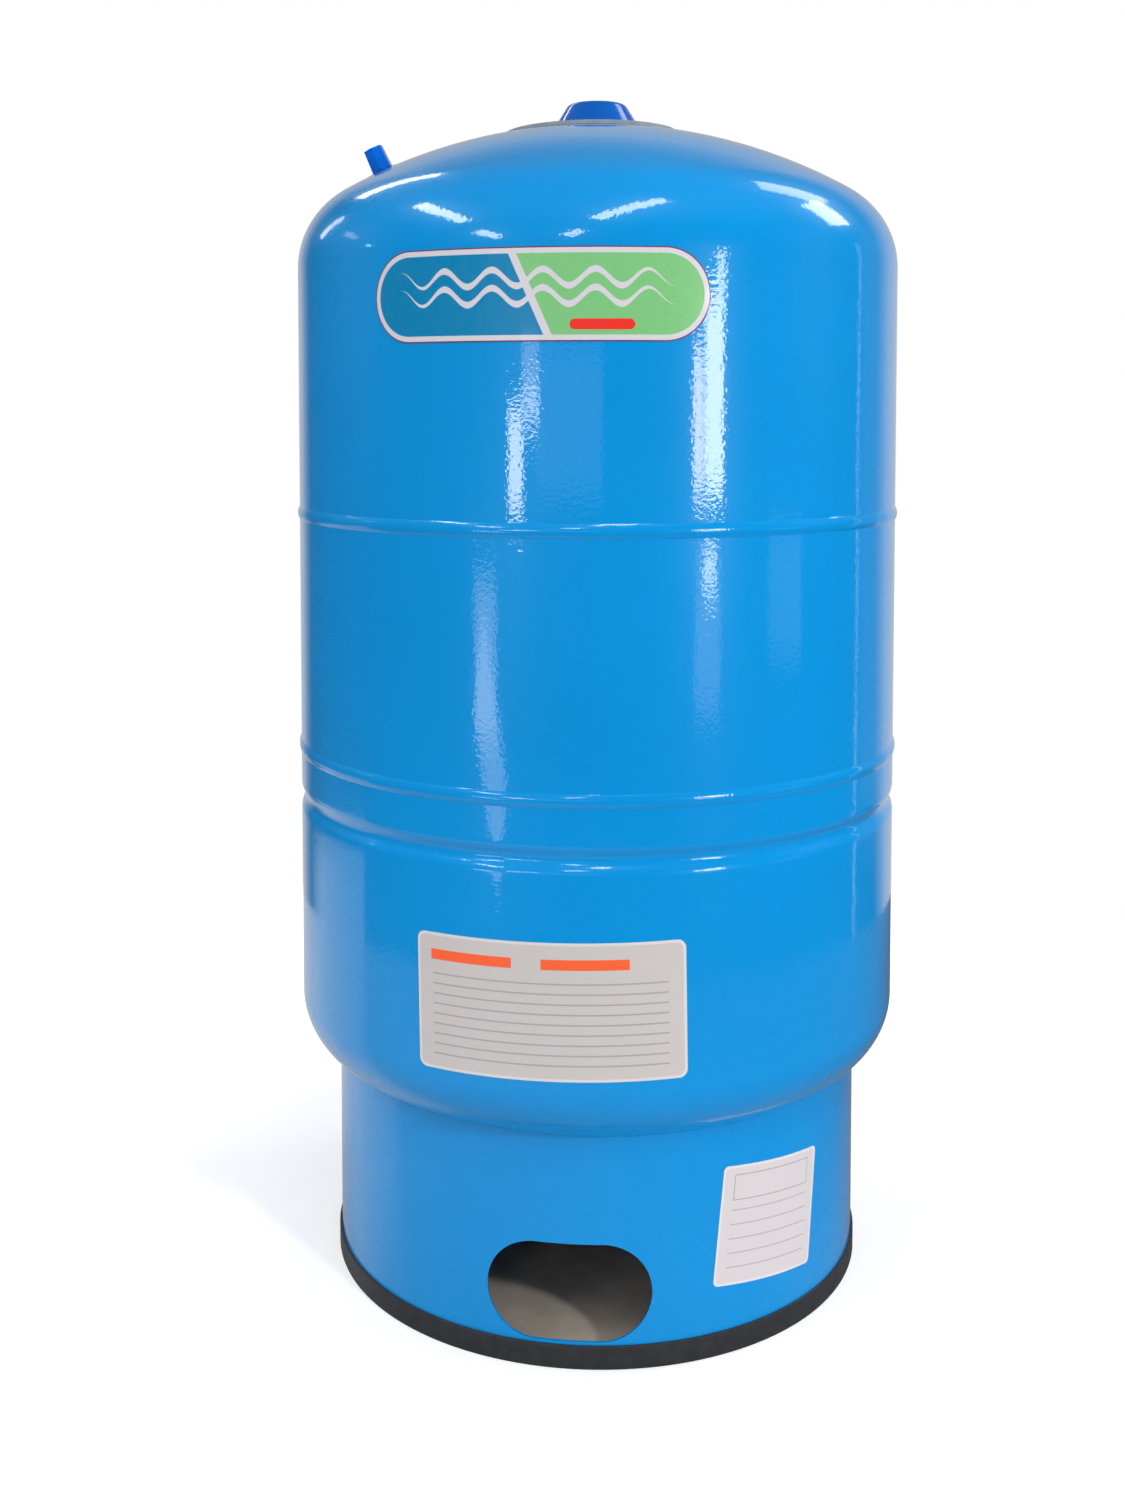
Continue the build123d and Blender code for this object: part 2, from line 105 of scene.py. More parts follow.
def close_skin(mesh):
    """Merge the seam and the poles, and turn every face outwards."""
    bmesh.ops.remove_doubles(mesh, verts=mesh.verts[:], dist=seam_gap)
    bmesh.ops.recalc_face_normals(mesh, faces=mesh.faces[:])


def turn_on_lathe(mesh, steps=turning_steps):
    """Spin a section about the upright axis into a closed skin."""
    bmesh.ops.spin(
        mesh, geom=mesh.verts[:] + mesh.edges[:], cent=(0, 0, 0), axis=(0, 0, 1),
        dvec=(0, 0, 0), angle=2 * pi, steps=steps, use_merge=True,
    )
    close_skin(mesh)


def set_down(name, mesh):
    """Stand a finished mesh in the scene."""
    data = bpy.data.meshes.new(name)
    mesh.to_mesh(data)
    mesh.free()
    piece = bpy.data.objects.new(name, data)
    bpy.context.scene.collection.objects.link(piece)
    return piece


def fit_piece(name, mesh, finish, slot, body, *nodes):
    """Hang a modelled piece on its body, in the place of the plain solids it stands for."""
    piece = set_down(name, mesh)
    piece.data.shade_smooth()
    piece.data.set_sharp_from_angle(angle=crease_angle)
    piece.data.materials.append(finish)
    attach(piece, body)
    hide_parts(*nodes)
    return piece


def put(tree, kind, inputs, **settings):
    """Add a node with its settings; each input is a value or another node's output."""
    node = tree.nodes.new(kind)
    for name, value in settings.items():
        setattr(node, name, value)
    for key, value in inputs.items():
        if isinstance(value, bpy.types.NodeSocket):
            tree.links.new(value, node.inputs[key])
        else:
            node.inputs[key].default_value = value
    return node


def blank_finish(name, **sockets):
    """A new material, with the shader's plain settings on its own sockets."""
    finish = bpy.data.materials.new(name)
    finish.use_nodes = True
    tree = finish.node_tree
    shader = tree.nodes["Principled BSDF"]
    for key, value in sockets.items():
        shader.inputs[key.replace("_", " ")].default_value = value
    return finish, tree, shader


def object_place(tree):
    return put(tree, "ShaderNodeTexCoord", {}).outputs["Object"]


def mottle(tree, scale, detail=2.0):
    """Cloudy noise in the solid's own space, so many to the metre."""
    inputs = {"Vector": object_place(tree), "Scale": scale, "Detail": detail}
    return put(tree, "ShaderNodeTexNoise", inputs).outputs["Fac"]


def spread(tree, value, low, high, start=0.3, end=0.7):
    """Stretch a value that runs from start to end over a wider or narrower range."""
    stretched = put(tree, "ShaderNodeMapRange", {
        "Value": value, "From Min": start, "From Max": end, "To Min": low, "To Max": high,
    })
    return stretched.outputs["Result"]


def blend_colours(tree, amount, first, second):
    """Mix two colours; each is three numbers or another node's output."""
    full = [c if isinstance(c, bpy.types.NodeSocket) else (*c, 1.0) for c in (first, second)]
    mixed = put(tree, "ShaderNodeMix", {0: amount, 6: full[0], 7: full[1]}, data_type="RGBA")
    return mixed.outputs[2]


def relief(tree, height, depth, under=None):
    """Bump a surface by a height from 0 to 1, so deep in metres, over another bump."""
    inputs = {"Height": height, "Distance": depth}
    if under:
        inputs["Normal"] = under
    return put(tree, "ShaderNodeBump", inputs).outputs["Normal"]


def wire(tree, shader, colour, roughness, normal):
    tree.links.new(colour, shader.inputs["Base Color"])
    tree.links.new(roughness, shader.inputs["Roughness"])
    tree.links.new(normal, shader.inputs["Normal"])


def mix_enamel(name, deep, bright):
    """Sprayed enamel under its own clear gloss, with orange peel and a lazy waviness."""
    finish, tree, shader = blank_finish(
        name, Coat_Weight=1.0, Coat_Roughness=0.025, Specular_IOR_Level=0.15
    )
    colour = blend_colours(tree, spread(tree, mottle(tree, cloud_scale), 0, 1), deep, bright)
    roughness = spread(tree, mottle(tree, smear_scale), *enamel_rough)
    waves = relief(tree, mottle(tree, wave_scale, 0.0), wave_depth)
    peel = relief(tree, mottle(tree, peel_scale, 1.0), peel_depth, waves)
    wire(tree, shader, colour, roughness, peel)
    tree.links.new(peel, shader.inputs["Coat Normal"])
    return finish


def draw_dome(mesh, inset, rim):
    """The dome's line from its apex to its rim, at a depth below its outer face."""
    reach = wall_radius - dome_knuckle
    lean = degrees(asin(reach / (crown_radius - dome_knuckle)))
    crown_height = dome_shoulder - (crown_radius - dome_knuckle) * cos(radians(lean))
    tip = pen_down(mesh, 0, crown_height + crown_radius - inset)
    tip = bend_by(mesh, tip, (0, crown_height), -lean, steps=60)
    tip = bend_by(mesh, tip, (reach, dome_shoulder), lean - quarter_turn, steps=32)
    return line_to(mesh, tip, wall_radius - inset, rim, steps=40)


blue_enamel = mix_enamel("blue_enamel", deep_blue, bright_blue)
dome_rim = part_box("upper_head")[0].z
dome = bmesh.new()
outer_rim = draw_dome(dome, 0, dome_rim)
inner_rim = draw_dome(dome, sheet, dome_rim)
dome.edges.new((outer_rim, inner_rim))
turn_on_lathe(dome)
fit_piece("dome", dome, blue_enamel, "tank_enamel", "tank", "upper_head")


# The middle band is a strip of the same sheet rolled into a ring, standing between the two
# girth welds.

band_low, band_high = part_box("middle_band")[0].z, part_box("middle_band")[1].z


def roll_band():
    inside = wall_radius - sheet
    band = bmesh.new()
    first = pen_down(band, wall_radius, band_low)
    tip = line_to(band, first, wall_radius, band_high, steps=30)
    tip = lines_to(band, tip, (inside, band_high), (inside, band_low))
    band.edges.new((tip, first))
    turn_on_lathe(band)
    return band


fit_piece("wall_band", roll_band(), blue_enamel, "tank_enamel", "tank", "middle_band")


# The lower head is a deep-drawn bowl. A groove is rolled into its wall from outside, which
# locks the liner, the diaphragm and a steel ring behind it. The outlet leaves through a hole
# in the middle of its bottom.

bowl_knuckle = 0.040
bowl_shoulder = 0.1748
groove_height = 0.3045
groove_depth = 0.0025
groove_width = 0.018
groove_lip = 0.010
outlet_hole = 0.0162
lip_steps = 10


def draw_bowl(mesh, inset, rim):
    """The bowl's line from its rim, through the groove, to the outlet hole."""
    turn = 2 * degrees(atan(2 * groove_depth / groove_width))
    valley = groove_width / 2 / sin(radians(turn)) - groove_lip
    top, bottom = groove_height + groove_width / 2, groove_height - groove_width / 2
    lip_x = wall_radius - groove_lip
    valley_x = wall_radius - groove_depth + valley
    reach = wall_radius - bowl_knuckle
    lean = degrees(asin(reach / (crown_radius - bowl_knuckle)))
    centre_height = bowl_shoulder + (crown_radius - bowl_knuckle) * cos(radians(lean))
    hole_lean = degrees(asin(outlet_hole / (crown_radius - inset)))
    start = pen_down(mesh, wall_radius - inset, rim)
    tip = line_to(mesh, start, wall_radius - inset, top, steps=8)
    tip = bend_by(mesh, tip, (lip_x, top), -turn, lip_steps)
    tip = bend_by(mesh, tip, (valley_x, groove_height), 2 * turn, 2 * lip_steps)
    tip = bend_by(mesh, tip, (lip_x, bottom), -turn, lip_steps)
    tip = line_to(mesh, tip, wall_radius - inset, bowl_shoulder, steps=24)
    tip = bend_by(mesh, tip, (reach, bowl_shoulder), lean - quarter_turn, steps=24)
    return start, bend_by(mesh, tip, (0, centre_height), hole_lean - lean, steps=40)


bowl_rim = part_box("lower_head")[1].z
bowl = bmesh.new()
outer_ends = draw_bowl(bowl, 0, bowl_rim)
inner_ends = draw_bowl(bowl, sheet, bowl_rim)
for outer, inner in zip(outer_ends, inner_ends):
    bowl.edges.new((outer, inner))
turn_on_lathe(bowl)
fit_piece("bowl", bowl, blue_enamel, "tank_enamel", "tank", "lower_head")


# Two girth welds join the heads to the band. Each is one machine-laid bead with a fine,
# slightly uneven ripple, painted over with the tank.

bead_width = 0.0085
bead_steps = 1080
bead_ripple = 0.00022
bead_wander = 0.00025
bead_least_rise = 0.02
ripple_pitch = 0.0021
ripple_bow = 1.4
waver_pitch = 0.02


def lay_bead(name, node):
    """A low rounded bead on the wall, rippled along its length."""
    low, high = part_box(node)
    middle = (low.z + high.z) / 2
    half = bead_width / 2
    crest = high.x - wall_radius
    radius = (half**2 + crest**2) / (2 * crest)
    swing = degrees(asin(half / radius))
    inside = wall_radius - sheet
    bead = bmesh.new()
    first = pen_down(bead, wall_radius, middle - half)
    tip = bend_by(bead, first, (high.x - radius, middle), 2 * swing, steps=14)
    tip = lines_to(bead, tip, (inside, middle + half), (inside, middle - half))
    bead.edges.new((tip, first))
    turn_on_lathe(bead, bead_steps)
    for point in bead.verts:
        reach = hypot(point.co.x, point.co.y)
        rise = (reach - wall_radius) / crest
        if rise > bead_least_rise:
            across = (point.co.z - middle) / half
            along = point.co.to_2d().angle_signed(Vector((0, -1)), 0) * wall_radius
            waver = noise.noise(Vector((along / waver_pitch, 0, middle)))
            phase = along / ripple_pitch + ripple_bow * across**2 + waver
            dip = bead_ripple * rise * (1 - cos(2 * pi * phase)) / 2
            dip += bead_wander * rise * abs(waver)
            point.co.xy *= (reach - dip) / reach
            point.co.z += bead_wander * waver * rise
    fit_piece(name, bead, blue_enamel, "tank_enamel", "tank", node)


lay_bead("upper_bead", "upper_girth_weld")
lay_bead("lower_bead", "lower_girth_weld")


# Inside the vessel are a moulded liner, the rubber diaphragm that parts air from water, and
# the steel ring that clenches both into the groove. They keep their plain solid shapes.


def dress(node, finish):
    """Give a carried-over solid its material."""
    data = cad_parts[node].data
    data.materials.clear()
    data.materials.append(finish)


def mix_finish(name, deep, bright, scales, rough, depth, detail=2.0, **sockets):
    """Cloudy colour, uneven gloss and fine grain, each at its own scale."""
    finish, tree, shader = blank_finish(name, **sockets)
    cloud, smear, grain = scales
    colour = blend_colours(tree, spread(tree, mottle(tree, cloud), 0, 1), deep, bright)
    roughness = spread(tree, mottle(tree, smear), *rough)
    wire(tree, shader, colour, roughness, relief(tree, mottle(tree, grain, detail), depth))
    return finish


def mix_plain(name, deep, bright, grain, rough, depth, **sockets):
    """A moulded, rubber or drawn surface."""
    scales = (grain / 6, grain / 2, grain)
    return mix_finish(name, deep, bright, scales, rough, depth, detail=3.0, **sockets)


liner_plastic = mix_plain(
    "liner_plastic", deep=(0.74, 0.74, 0.69), bright=(0.8, 0.8, 0.76),
    grain=700, rough=(0.38, 0.5), depth=0.00002,
)
butyl_rubber = mix_plain(
    "butyl_rubber", deep=(0.018, 0.018, 0.019), bright=(0.03, 0.03, 0.031),
    grain=1200, rough=(0.6, 0.78), depth=0.00004,
)
ring_steel = mix_plain(
    "ring_steel", deep=(0.42, 0.42, 0.43), bright=(0.54, 0.54, 0.54),
    grain=900, rough=(0.3, 0.45), depth=0.00002, Metallic=1.0,
)
dress("liner", liner_plastic)
dress("diaphragm", butyl_rubber)
dress("clench_ring", ring_steel)


# The water connection is a stainless neck through the bowl, sealed by a gasket, welded
# outside and topped by a slotted plastic cap that keeps the diaphragm off the port.

stainless = mix_plain(
    "stainless", deep=(0.5, 0.5, 0.48), bright=(0.6, 0.6, 0.58),
    grain=800, rough=(0.24, 0.4), depth=0.000015, Metallic=1.0,
)
for node in ("outlet_neck", "neck_weld"):
    dress(node, stainless)
dress("neck_gasket", butyl_rubber)
dress("diffuser", liner_plastic)


# The elbow is a bent stainless tube, pressed and welded over the neck. Its thick mouth is
# turned and cut with the female pipe thread, and faces the hand hole.

elbow_low, elbow_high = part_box("outlet_elbow")
elbow_steps = 96
elbow_bend_steps = 28
bore_slack = 0.00045
tube_radius = 0.017
tube_bore = 0.013
socket_outer = 0.0191
socket_bore = 0.0161
socket_depth = 0.009
bend_radius = 0.027
mouth_radius = elbow_high.x
mouth_length = 0.024
mouth_bore = 0.0152
mouth_bore_depth = 0.020
mouth_edge = 0.0012
thread_pitch = 0.00221
thread_depth = 0.0013
thread_rings = 80


def ring_at(mesh, rim, radius, shift):
    """Extrude an open rim, set it to a radius about its middle and shift it."""
    grown = bmesh.ops.extrude_edge_only(mesh, edges=rim)["geom"]
    points = points_of(grown)
    middle = sum((point.co for point in points), Vector()) / len(points)
    for point in points:
        point.co = middle + (point.co - middle).normalized() * radius + shift
    return [part for part in grown if isinstance(part, bmesh.types.BMEdge) and part.is_boundary]


def rings(mesh, rim, *steps):
    """Extrude a rim several times, each time to a radius and by a shift."""
    for radius, shift in steps:
        rim = ring_at(mesh, rim, radius, shift)
    return rim


def sweep_round(mesh, rim, centre, turn, steps):
    """Carry an open rim round a bend and give back its new rim."""
    swept = bmesh.ops.spin(
        mesh, geom=rim, cent=centre, axis=(1, 0, 0), dvec=(0, 0, 0), angle=turn, steps=steps
    )
    return [part for part in swept["geom_last"] if isinstance(part, bmesh.types.BMEdge)]


def bend_elbow():
    """Out along the elbow's skin, in through its thread, and back up its bore."""
    down, out = Vector((0, 0, -1)), Vector((0, -1, 0))
    still = Vector()
    top = elbow_high.z
    bend_centre = Vector((0, -bend_radius, top - socket_depth))
    run = -elbow_low.y - bend_radius
    tube = bmesh.new()
    circle = bmesh.ops.create_circle(tube, segments=elbow_steps, radius=socket_bore)
    bmesh.ops.translate(tube, verts=circle["verts"], vec=(0, 0, top))
    rim = rings(
        tube, tube.edges[:], (socket_outer - mouth_edge / 2, still),
        (socket_outer, down * mouth_edge / 2),
        (socket_outer, down * (socket_depth - mouth_edge / 2)), (tube_radius, still),
    )
    rim = sweep_round(tube, rim, bend_centre, -pi / 2, elbow_bend_steps)
    rim = rings(
        tube, rim, (tube_radius, out * (run - mouth_length)),
        (mouth_radius - mouth_edge, still), (mouth_radius, out * mouth_edge),
        (mouth_radius, out * (mouth_length - 2 * mouth_edge)),
        (mouth_radius - mouth_edge, out * mouth_edge), (mouth_bore, still),
    )
    for ring in range(thread_rings):
        rim = ring_at(tube, rim, mouth_bore, -out * mouth_bore_depth / thread_rings)
    rim = rings(tube, rim, (tube_bore, still), (tube_bore, -out * (run - mouth_bore_depth)))
    rim = sweep_round(tube, rim, bend_centre, pi / 2, elbow_bend_steps)
    rings(tube, rim, (socket_bore, still), (socket_bore, -down * socket_depth))
    return tube


def cut_thread(tube):
    """Push the bore's rings outwards in a rising spiral of V grooves."""
    axis_height = elbow_low.z + mouth_radius
    for point in tube.verts:
        side, up = point.co.x, point.co.z - axis_height
        depth = point.co.y - elbow_low.y
        if abs(hypot(side, up) - mouth_bore) < bore_slack and 0 < depth < mouth_bore_depth:
            turns = depth / thread_pitch - Vector((side, up)).angle_signed(Vector((0, 1))) / 2 / pi
            cut = thread_depth * abs(2 * (turns % 1) - 1)
            grown = 1 + cut / mouth_bore
            point.co.x, point.co.z = side * grown, axis_height + up * grown


elbow = bend_elbow()
cut_thread(elbow)
close_skin(elbow)
fit_piece("pipe_elbow", elbow, stainless, "stainless", "tank", "outlet_elbow")


# The skirt is rolled from the same sheet and stitch-welded under the bowl. A long round-ended
# hand hole is punched through its front. It is painted with the tank.

skirt_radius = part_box("skirt")[1].x
skirt_sheet = 0.0016
skirt_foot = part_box("skirt")[0].z
hand_hole_width = 0.0966
hand_hole_height = 0.058
hand_hole_middle = 0.0447


def bowl_face(radius):
    """How high the bowl's knuckle lies at a radius."""
    beyond = radius - (wall_radius - bowl_knuckle)
    return bowl_shoulder - sqrt(bowl_knuckle**2 - beyond**2)


def roll_skirt():
    inside = skirt_radius - skirt_sheet
    ring = bmesh.new()
    first = pen_down(ring, skirt_radius, skirt_foot)
    tip = line_to(ring, first, skirt_radius, bowl_face(skirt_radius), steps=30)
    tip = line_to(ring, tip, inside, bowl_face(inside))
    tip = line_to(ring, tip, inside, skirt_foot, steps=30)
    ring.edges.new((tip, first))
    turn_on_lathe(ring)
    return ring


def punch_hand_hole(skirt):
    """Cut the hole with a round-ended punch and keep the cut mesh."""
    punch = bmesh.new()
    half_run = (hand_hole_width - hand_hole_height) / 2
    round_end = hand_hole_height / 2
    rounded = bmesh.ops.create_circle(punch, segments=96, radius=round_end, cap_ends=True)
    for point in rounded["verts"]:
        point.co.x += half_run if point.co.x > 0 else -half_run
    bmesh.ops.rotate(punch, verts=punch.verts[:], matrix=Matrix.Rotation(pi / 2, 3, "X"))
    reach = skirt_radius + skirt_sheet
    bmesh.ops.translate(punch, verts=punch.verts[:], vec=(0, 0, hand_hole_middle))
    pulled = bmesh.ops.extrude_face_region(punch, geom=punch.faces[:])["geom"]
    bmesh.ops.translate(punch, verts=points_of(pulled), vec=(0, -reach, 0))
    bmesh.ops.recalc_face_normals(punch, faces=punch.faces[:])
    blank, tool = set_down("skirt_blank", skirt), set_down("punch", punch)
    cut = blank.modifiers.new("hand_hole", "BOOLEAN")
    cut.operation = "DIFFERENCE"
    cut.object = tool
    shaped = blank.evaluated_get(bpy.context.evaluated_depsgraph_get())
    pierced = bmesh.new()
    pierced.from_mesh(bpy.data.meshes.new_from_object(shaped))
    for block in (blank, tool):
        bpy.data.objects.remove(block)
    return pierced


fit_piece("skirt_wall", punch_hand_hole(roll_skirt()), blue_enamel, "tank_enamel", "tank", "skirt")
dress("skirt_welds", blue_enamel)


# The foot ring is a U-shaped strip of black plastic pushed over the skirt's raw lower edge,
# so that the tank doesn't scratch the floor.

foot_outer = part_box("foot_ring")[1].x
foot_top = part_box("foot_ring")[1].z
foot_wall = 0.0015
foot_edge = 0.001
foot_floor = 0.003
foot_gap = 0.0001

black_plastic = mix_plain(
    "black_plastic", deep=(0.02, 0.022, 0.026), bright=(0.028, 0.03, 0.035),
    grain=900, rough=(0.42, 0.55), depth=0.00003,
)


def mould_foot():
    """The U section, rounded at its feet and a little at its lips."""
    groove_out = foot_outer - foot_wall
    groove_in = skirt_radius - skirt_sheet - foot_gap
    foot_inner = groove_in - foot_wall
    lip = foot_wall / 4
    foot = bmesh.new()
    first = pen_down(foot, foot_inner + foot_edge, 0)
    tip = line_to(foot, first, foot_outer - foot_edge, 0)
    tip = bend_by(foot, tip, (foot_outer - foot_edge, foot_edge), quarter_turn, steps=6)
    tip = line_to(foot, tip, foot_outer, foot_top - lip, steps=6)
    tip = bend_by(foot, tip, (foot_outer - lip, foot_top - lip), quarter_turn, steps=3)
    tip = lines_to(
        foot, tip, (groove_out, foot_top), (groove_out, foot_floor),
        (groove_in, foot_floor), (groove_in, foot_top), (foot_inner + lip, foot_top),
    )
    tip = bend_by(foot, tip, (foot_inner + lip, foot_top - lip), quarter_turn, steps=3)
    tip = line_to(foot, tip, foot_inner, foot_edge, steps=6)
    tip = bend_by(foot, tip, (foot_inner + foot_edge, foot_edge), quarter_turn, steps=6)
    turn_on_lathe(foot)
    return foot


fit_piece("foot_trim", mould_foot(), black_plastic, "foot_plastic", "tank", "foot_ring")


# A grey plastic disc lies on the crown of the dome, a little off the middle, over the welded
# stud that holds the cover.

disc_radius = 0.057
disc_hole = 0.011
disc_sheet = 0.0024
disc_lift = 0.0001
disc_shift = 0.004
disc_edge = 0.0006

crown_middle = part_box("upper_head")[1].z - crown_radius
grey_plastic = mix_plain(
    "grey_plastic", deep=(0.2, 0.24, 0.275), bright=(0.25, 0.285, 0.32),
    grain=800, rough=(0.4, 0.52), depth=0.00003,
)


def press_disc():
    """A dished washer with a rounded edge, slid sideways over the crown."""
    low = crown_radius + disc_lift
    high = low + disc_sheet
    disc = bmesh.new()

    def height(radius, ball):
        return crown_middle + sqrt(ball**2 - radius**2)

    def lean(radius, ball):
        return degrees(asin(radius / ball))

    first = pen_down(disc, disc_hole, height(disc_hole, low))
    middle = (0, crown_middle)
    tip = bend_by(disc, first, middle, lean(disc_hole, low) - lean(disc_radius, low), steps=24)
    tip = line_to(disc, tip, disc_radius, height(disc_radius, high) - disc_edge)
    rounded = disc_radius - disc_edge
    tip = line_to(disc, tip, disc_radius - disc_edge / 3, height(rounded, high) - disc_edge / 4)
    tip = line_to(disc, tip, rounded, height(rounded, high))
    tip = bend_by(disc, tip, middle, lean(rounded, high) - lean(disc_hole, high), steps=24)
    disc.edges.new((tip, first))
    turn_on_lathe(disc)
    swing = Matrix.Rotation(-asin(disc_shift / crown_radius), 3, "Y")
    bmesh.ops.rotate(disc, verts=disc.verts[:], cent=(0, 0, crown_middle), matrix=swing)
    return disc


fit_piece("crown_disc", press_disc(), grey_plastic, "disc_plastic", "tank", "top_disc")
dress("top_boss", ring_steel)


# The cover is a hollow cone of glossy blue plastic with a softly rounded top. A hub inside it
# is pushed over the stud.

cover_low, cover_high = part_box("top_cap")
cover_base = cover_high.x
cover_top = 0.0186
cover_round = 0.005
cover_wall = 0.002
hub_bore = 0.00508
hub_outer = 0.00728
hub_foot = 0.7412


def mix_gloss(name, deep, bright, grain):
    """Injection-moulded gloss plastic with a trace of flow mottle."""
    return mix_finish(
        name, deep, bright, scales=(60.0, 200.0, grain), rough=(0.16, 0.24), depth=0.00001,
        Coat_Weight=0.6, Coat_Roughness=0.04, Specular_IOR_Level=0.2,
    )


def draw_cover(mesh, inset, round_edge, middle):
    """The cover's line from its foot to its top, at a depth below its outer face."""
    base, top = cover_base - inset, cover_top - inset
    foot, roof = cover_low.z, cover_high.z - inset
    slope = degrees(atan((roof - foot) / (base - top)))
    cut = round_edge * tan(radians(slope / 2))
    side = Vector((base - top, 0, foot - roof)).normalized() * cut
    start = pen_down(mesh, base, foot)
    tip = line_to(mesh, start, top + side.x, roof + side.z, steps=6)
    tip = bend_by(mesh, tip, (top - cut, roof - round_edge), slope, steps=14)
    return start, line_to(mesh, tip, middle, roof, steps=4)


def mould_cover():
    """The shell with its hub, as one section."""
    roof = cover_high.z - cover_wall
    cover = bmesh.new()
    outer_foot = draw_cover(cover, 0, cover_round, 0)[0]
    inner_foot, hub_root = draw_cover(cover, cover_wall, cover_round - cover_wall, hub_outer)
    cover.edges.new((outer_foot, inner_foot))
    hub = (hub_outer, hub_foot), (hub_bore, hub_foot), (hub_bore, roof)
    lines_to(cover, hub_root, *hub, (0, roof))
    turn_on_lathe(cover)
    return cover


royal_plastic = mix_gloss("royal_plastic", (0.0, 0.085, 0.41), (0.0, 0.1, 0.46), grain=500)
fit_piece("crown_cover", mould_cover(), royal_plastic, "cover_plastic", "top_cap", "top_cap")


# The air valve is a turned brass stem welded into the shoulder of the dome, with a thin
# rubber disc round its foot. Its screwed core carries a sprung pin with a rubber seal.

valve_reach = 0.139
valve_lean = asin(valve_reach / crown_radius)
valve_turn = radians(-82)
stem_radius = 0.0039
stem_height = 0.015
stem_edge = 0.0004
collar_radius = 0.0065
collar_height = 0.001
spigot_radius = 0.005
spigot_length = 0.004
port_radius = 0.0009
chamber_radius = 0.0018
chamber_foot = 0.002
core_radius = 0.0026
core_seat = 0.0075
stem_thread_foot = 0.0035
stem_thread_pitch = 0.00079
stem_thread_depth = 0.00042
disc_foot = 0.001
valve_disc_top = 0.002
valve_disc_radius = 0.017
valve_disc_hole = 0.0042
valve_disc_edge = 0.0003
spring_low, spring_high = 0.00205, 0.0061
spring_radius = 0.00115
spring_wire = 0.00016
spring_wire_sides = 10
spring_turns = 5
spring_steps = 200

valve_up = Vector((
    sin(valve_lean) * sin(valve_turn), -sin(valve_lean) * cos(valve_turn), cos(valve_lean)
))
valve_side = Vector((cos(valve_turn), sin(valve_turn), 0))
valve_seat = Matrix((valve_side, valve_up.cross(valve_side), valve_up)).transposed().to_4x4()
valve_seat.translation = Vector((0, 0, crown_middle)) + valve_up * crown_radius


def turn_stem():
    """The stem's section turned, then its thread cut as a spiral of V grooves."""
    stem = bmesh.new()
    top = stem_height - stem_edge
    first = pen_down(stem, port_radius, -spigot_length)
    tip = lines_to(
        stem, first, (spigot_radius, -spigot_length), (spigot_radius, 0), (collar_radius, 0),
        (collar_radius, collar_height), (stem_radius, collar_height),
    )
    tip = line_to(stem, tip, stem_radius, top, steps=90)
    tip = lines_to(
        stem, tip, (stem_radius - stem_edge, stem_height), (core_radius, stem_height),
        (core_radius, core_seat), (chamber_radius, core_seat),
        (chamber_radius, chamber_foot), (port_radius, chamber_foot),
    )
    stem.edges.new((tip, first))
    turn_on_lathe(stem, steps=64)
    for point in stem.verts:
        reach = hypot(point.co.x, point.co.y)
        if abs(reach - stem_radius) < stem_edge / 10 and stem_thread_foot < point.co.z < top:
            turns = point.co.z / stem_thread_pitch
            turns -= point.co.to_2d().angle_signed(Vector((0, 1))) / 2 / pi
            point.co.xy *= 1 - stem_thread_depth * abs(2 * (turns % 1) - 1) / stem_radius
    stem.transform(valve_seat)
    return stem


def cut_disc():
    """A flat washer with a rounded rim."""
    disc = bmesh.new()
    rim = valve_disc_radius - valve_disc_edge
    first = pen_down(disc, valve_disc_hole, disc_foot)
    tip = line_to(disc, first, rim, disc_foot)
    low, high = disc_foot + valve_disc_edge, valve_disc_top - valve_disc_edge
    tip = bend_by(disc, tip, (rim, low), quarter_turn, steps=3)
    tip = line_to(disc, tip, valve_disc_radius, high)
    tip = bend_by(disc, tip, (rim, high), quarter_turn, steps=3)
    tip = line_to(disc, tip, valve_disc_hole, valve_disc_top, steps=6)
    disc.edges.new((tip, first))
    turn_on_lathe(disc, steps=128)
    disc.transform(valve_seat)
    return disc


def wind_spring():
    """A round wire wound up the valve's axis and closed at both ends."""
    coil = bmesh.new()
    bmesh.ops.create_circle(coil, segments=spring_wire_sides, radius=spring_wire)
    bmesh.ops.rotate(coil, verts=coil.verts[:], matrix=Matrix.Rotation(pi / 2, 3, "X"))
    start = (spring_radius, 0, spring_low + spring_wire)
    bmesh.ops.translate(coil, verts=coil.verts[:], vec=start)
    rise = spring_high - spring_low - 2 * spring_wire
    bmesh.ops.spin(
        coil, geom=coil.edges[:], cent=(0, 0, 0), axis=(0, 0, 1),
        dvec=(0, 0, rise / spring_steps), angle=2 * pi * spring_turns, steps=spring_steps,
    )
    bmesh.ops.holes_fill(coil, edges=coil.edges[:], sides=spring_wire_sides)
    close_skin(coil)
    coil.transform(valve_seat)
    return coil


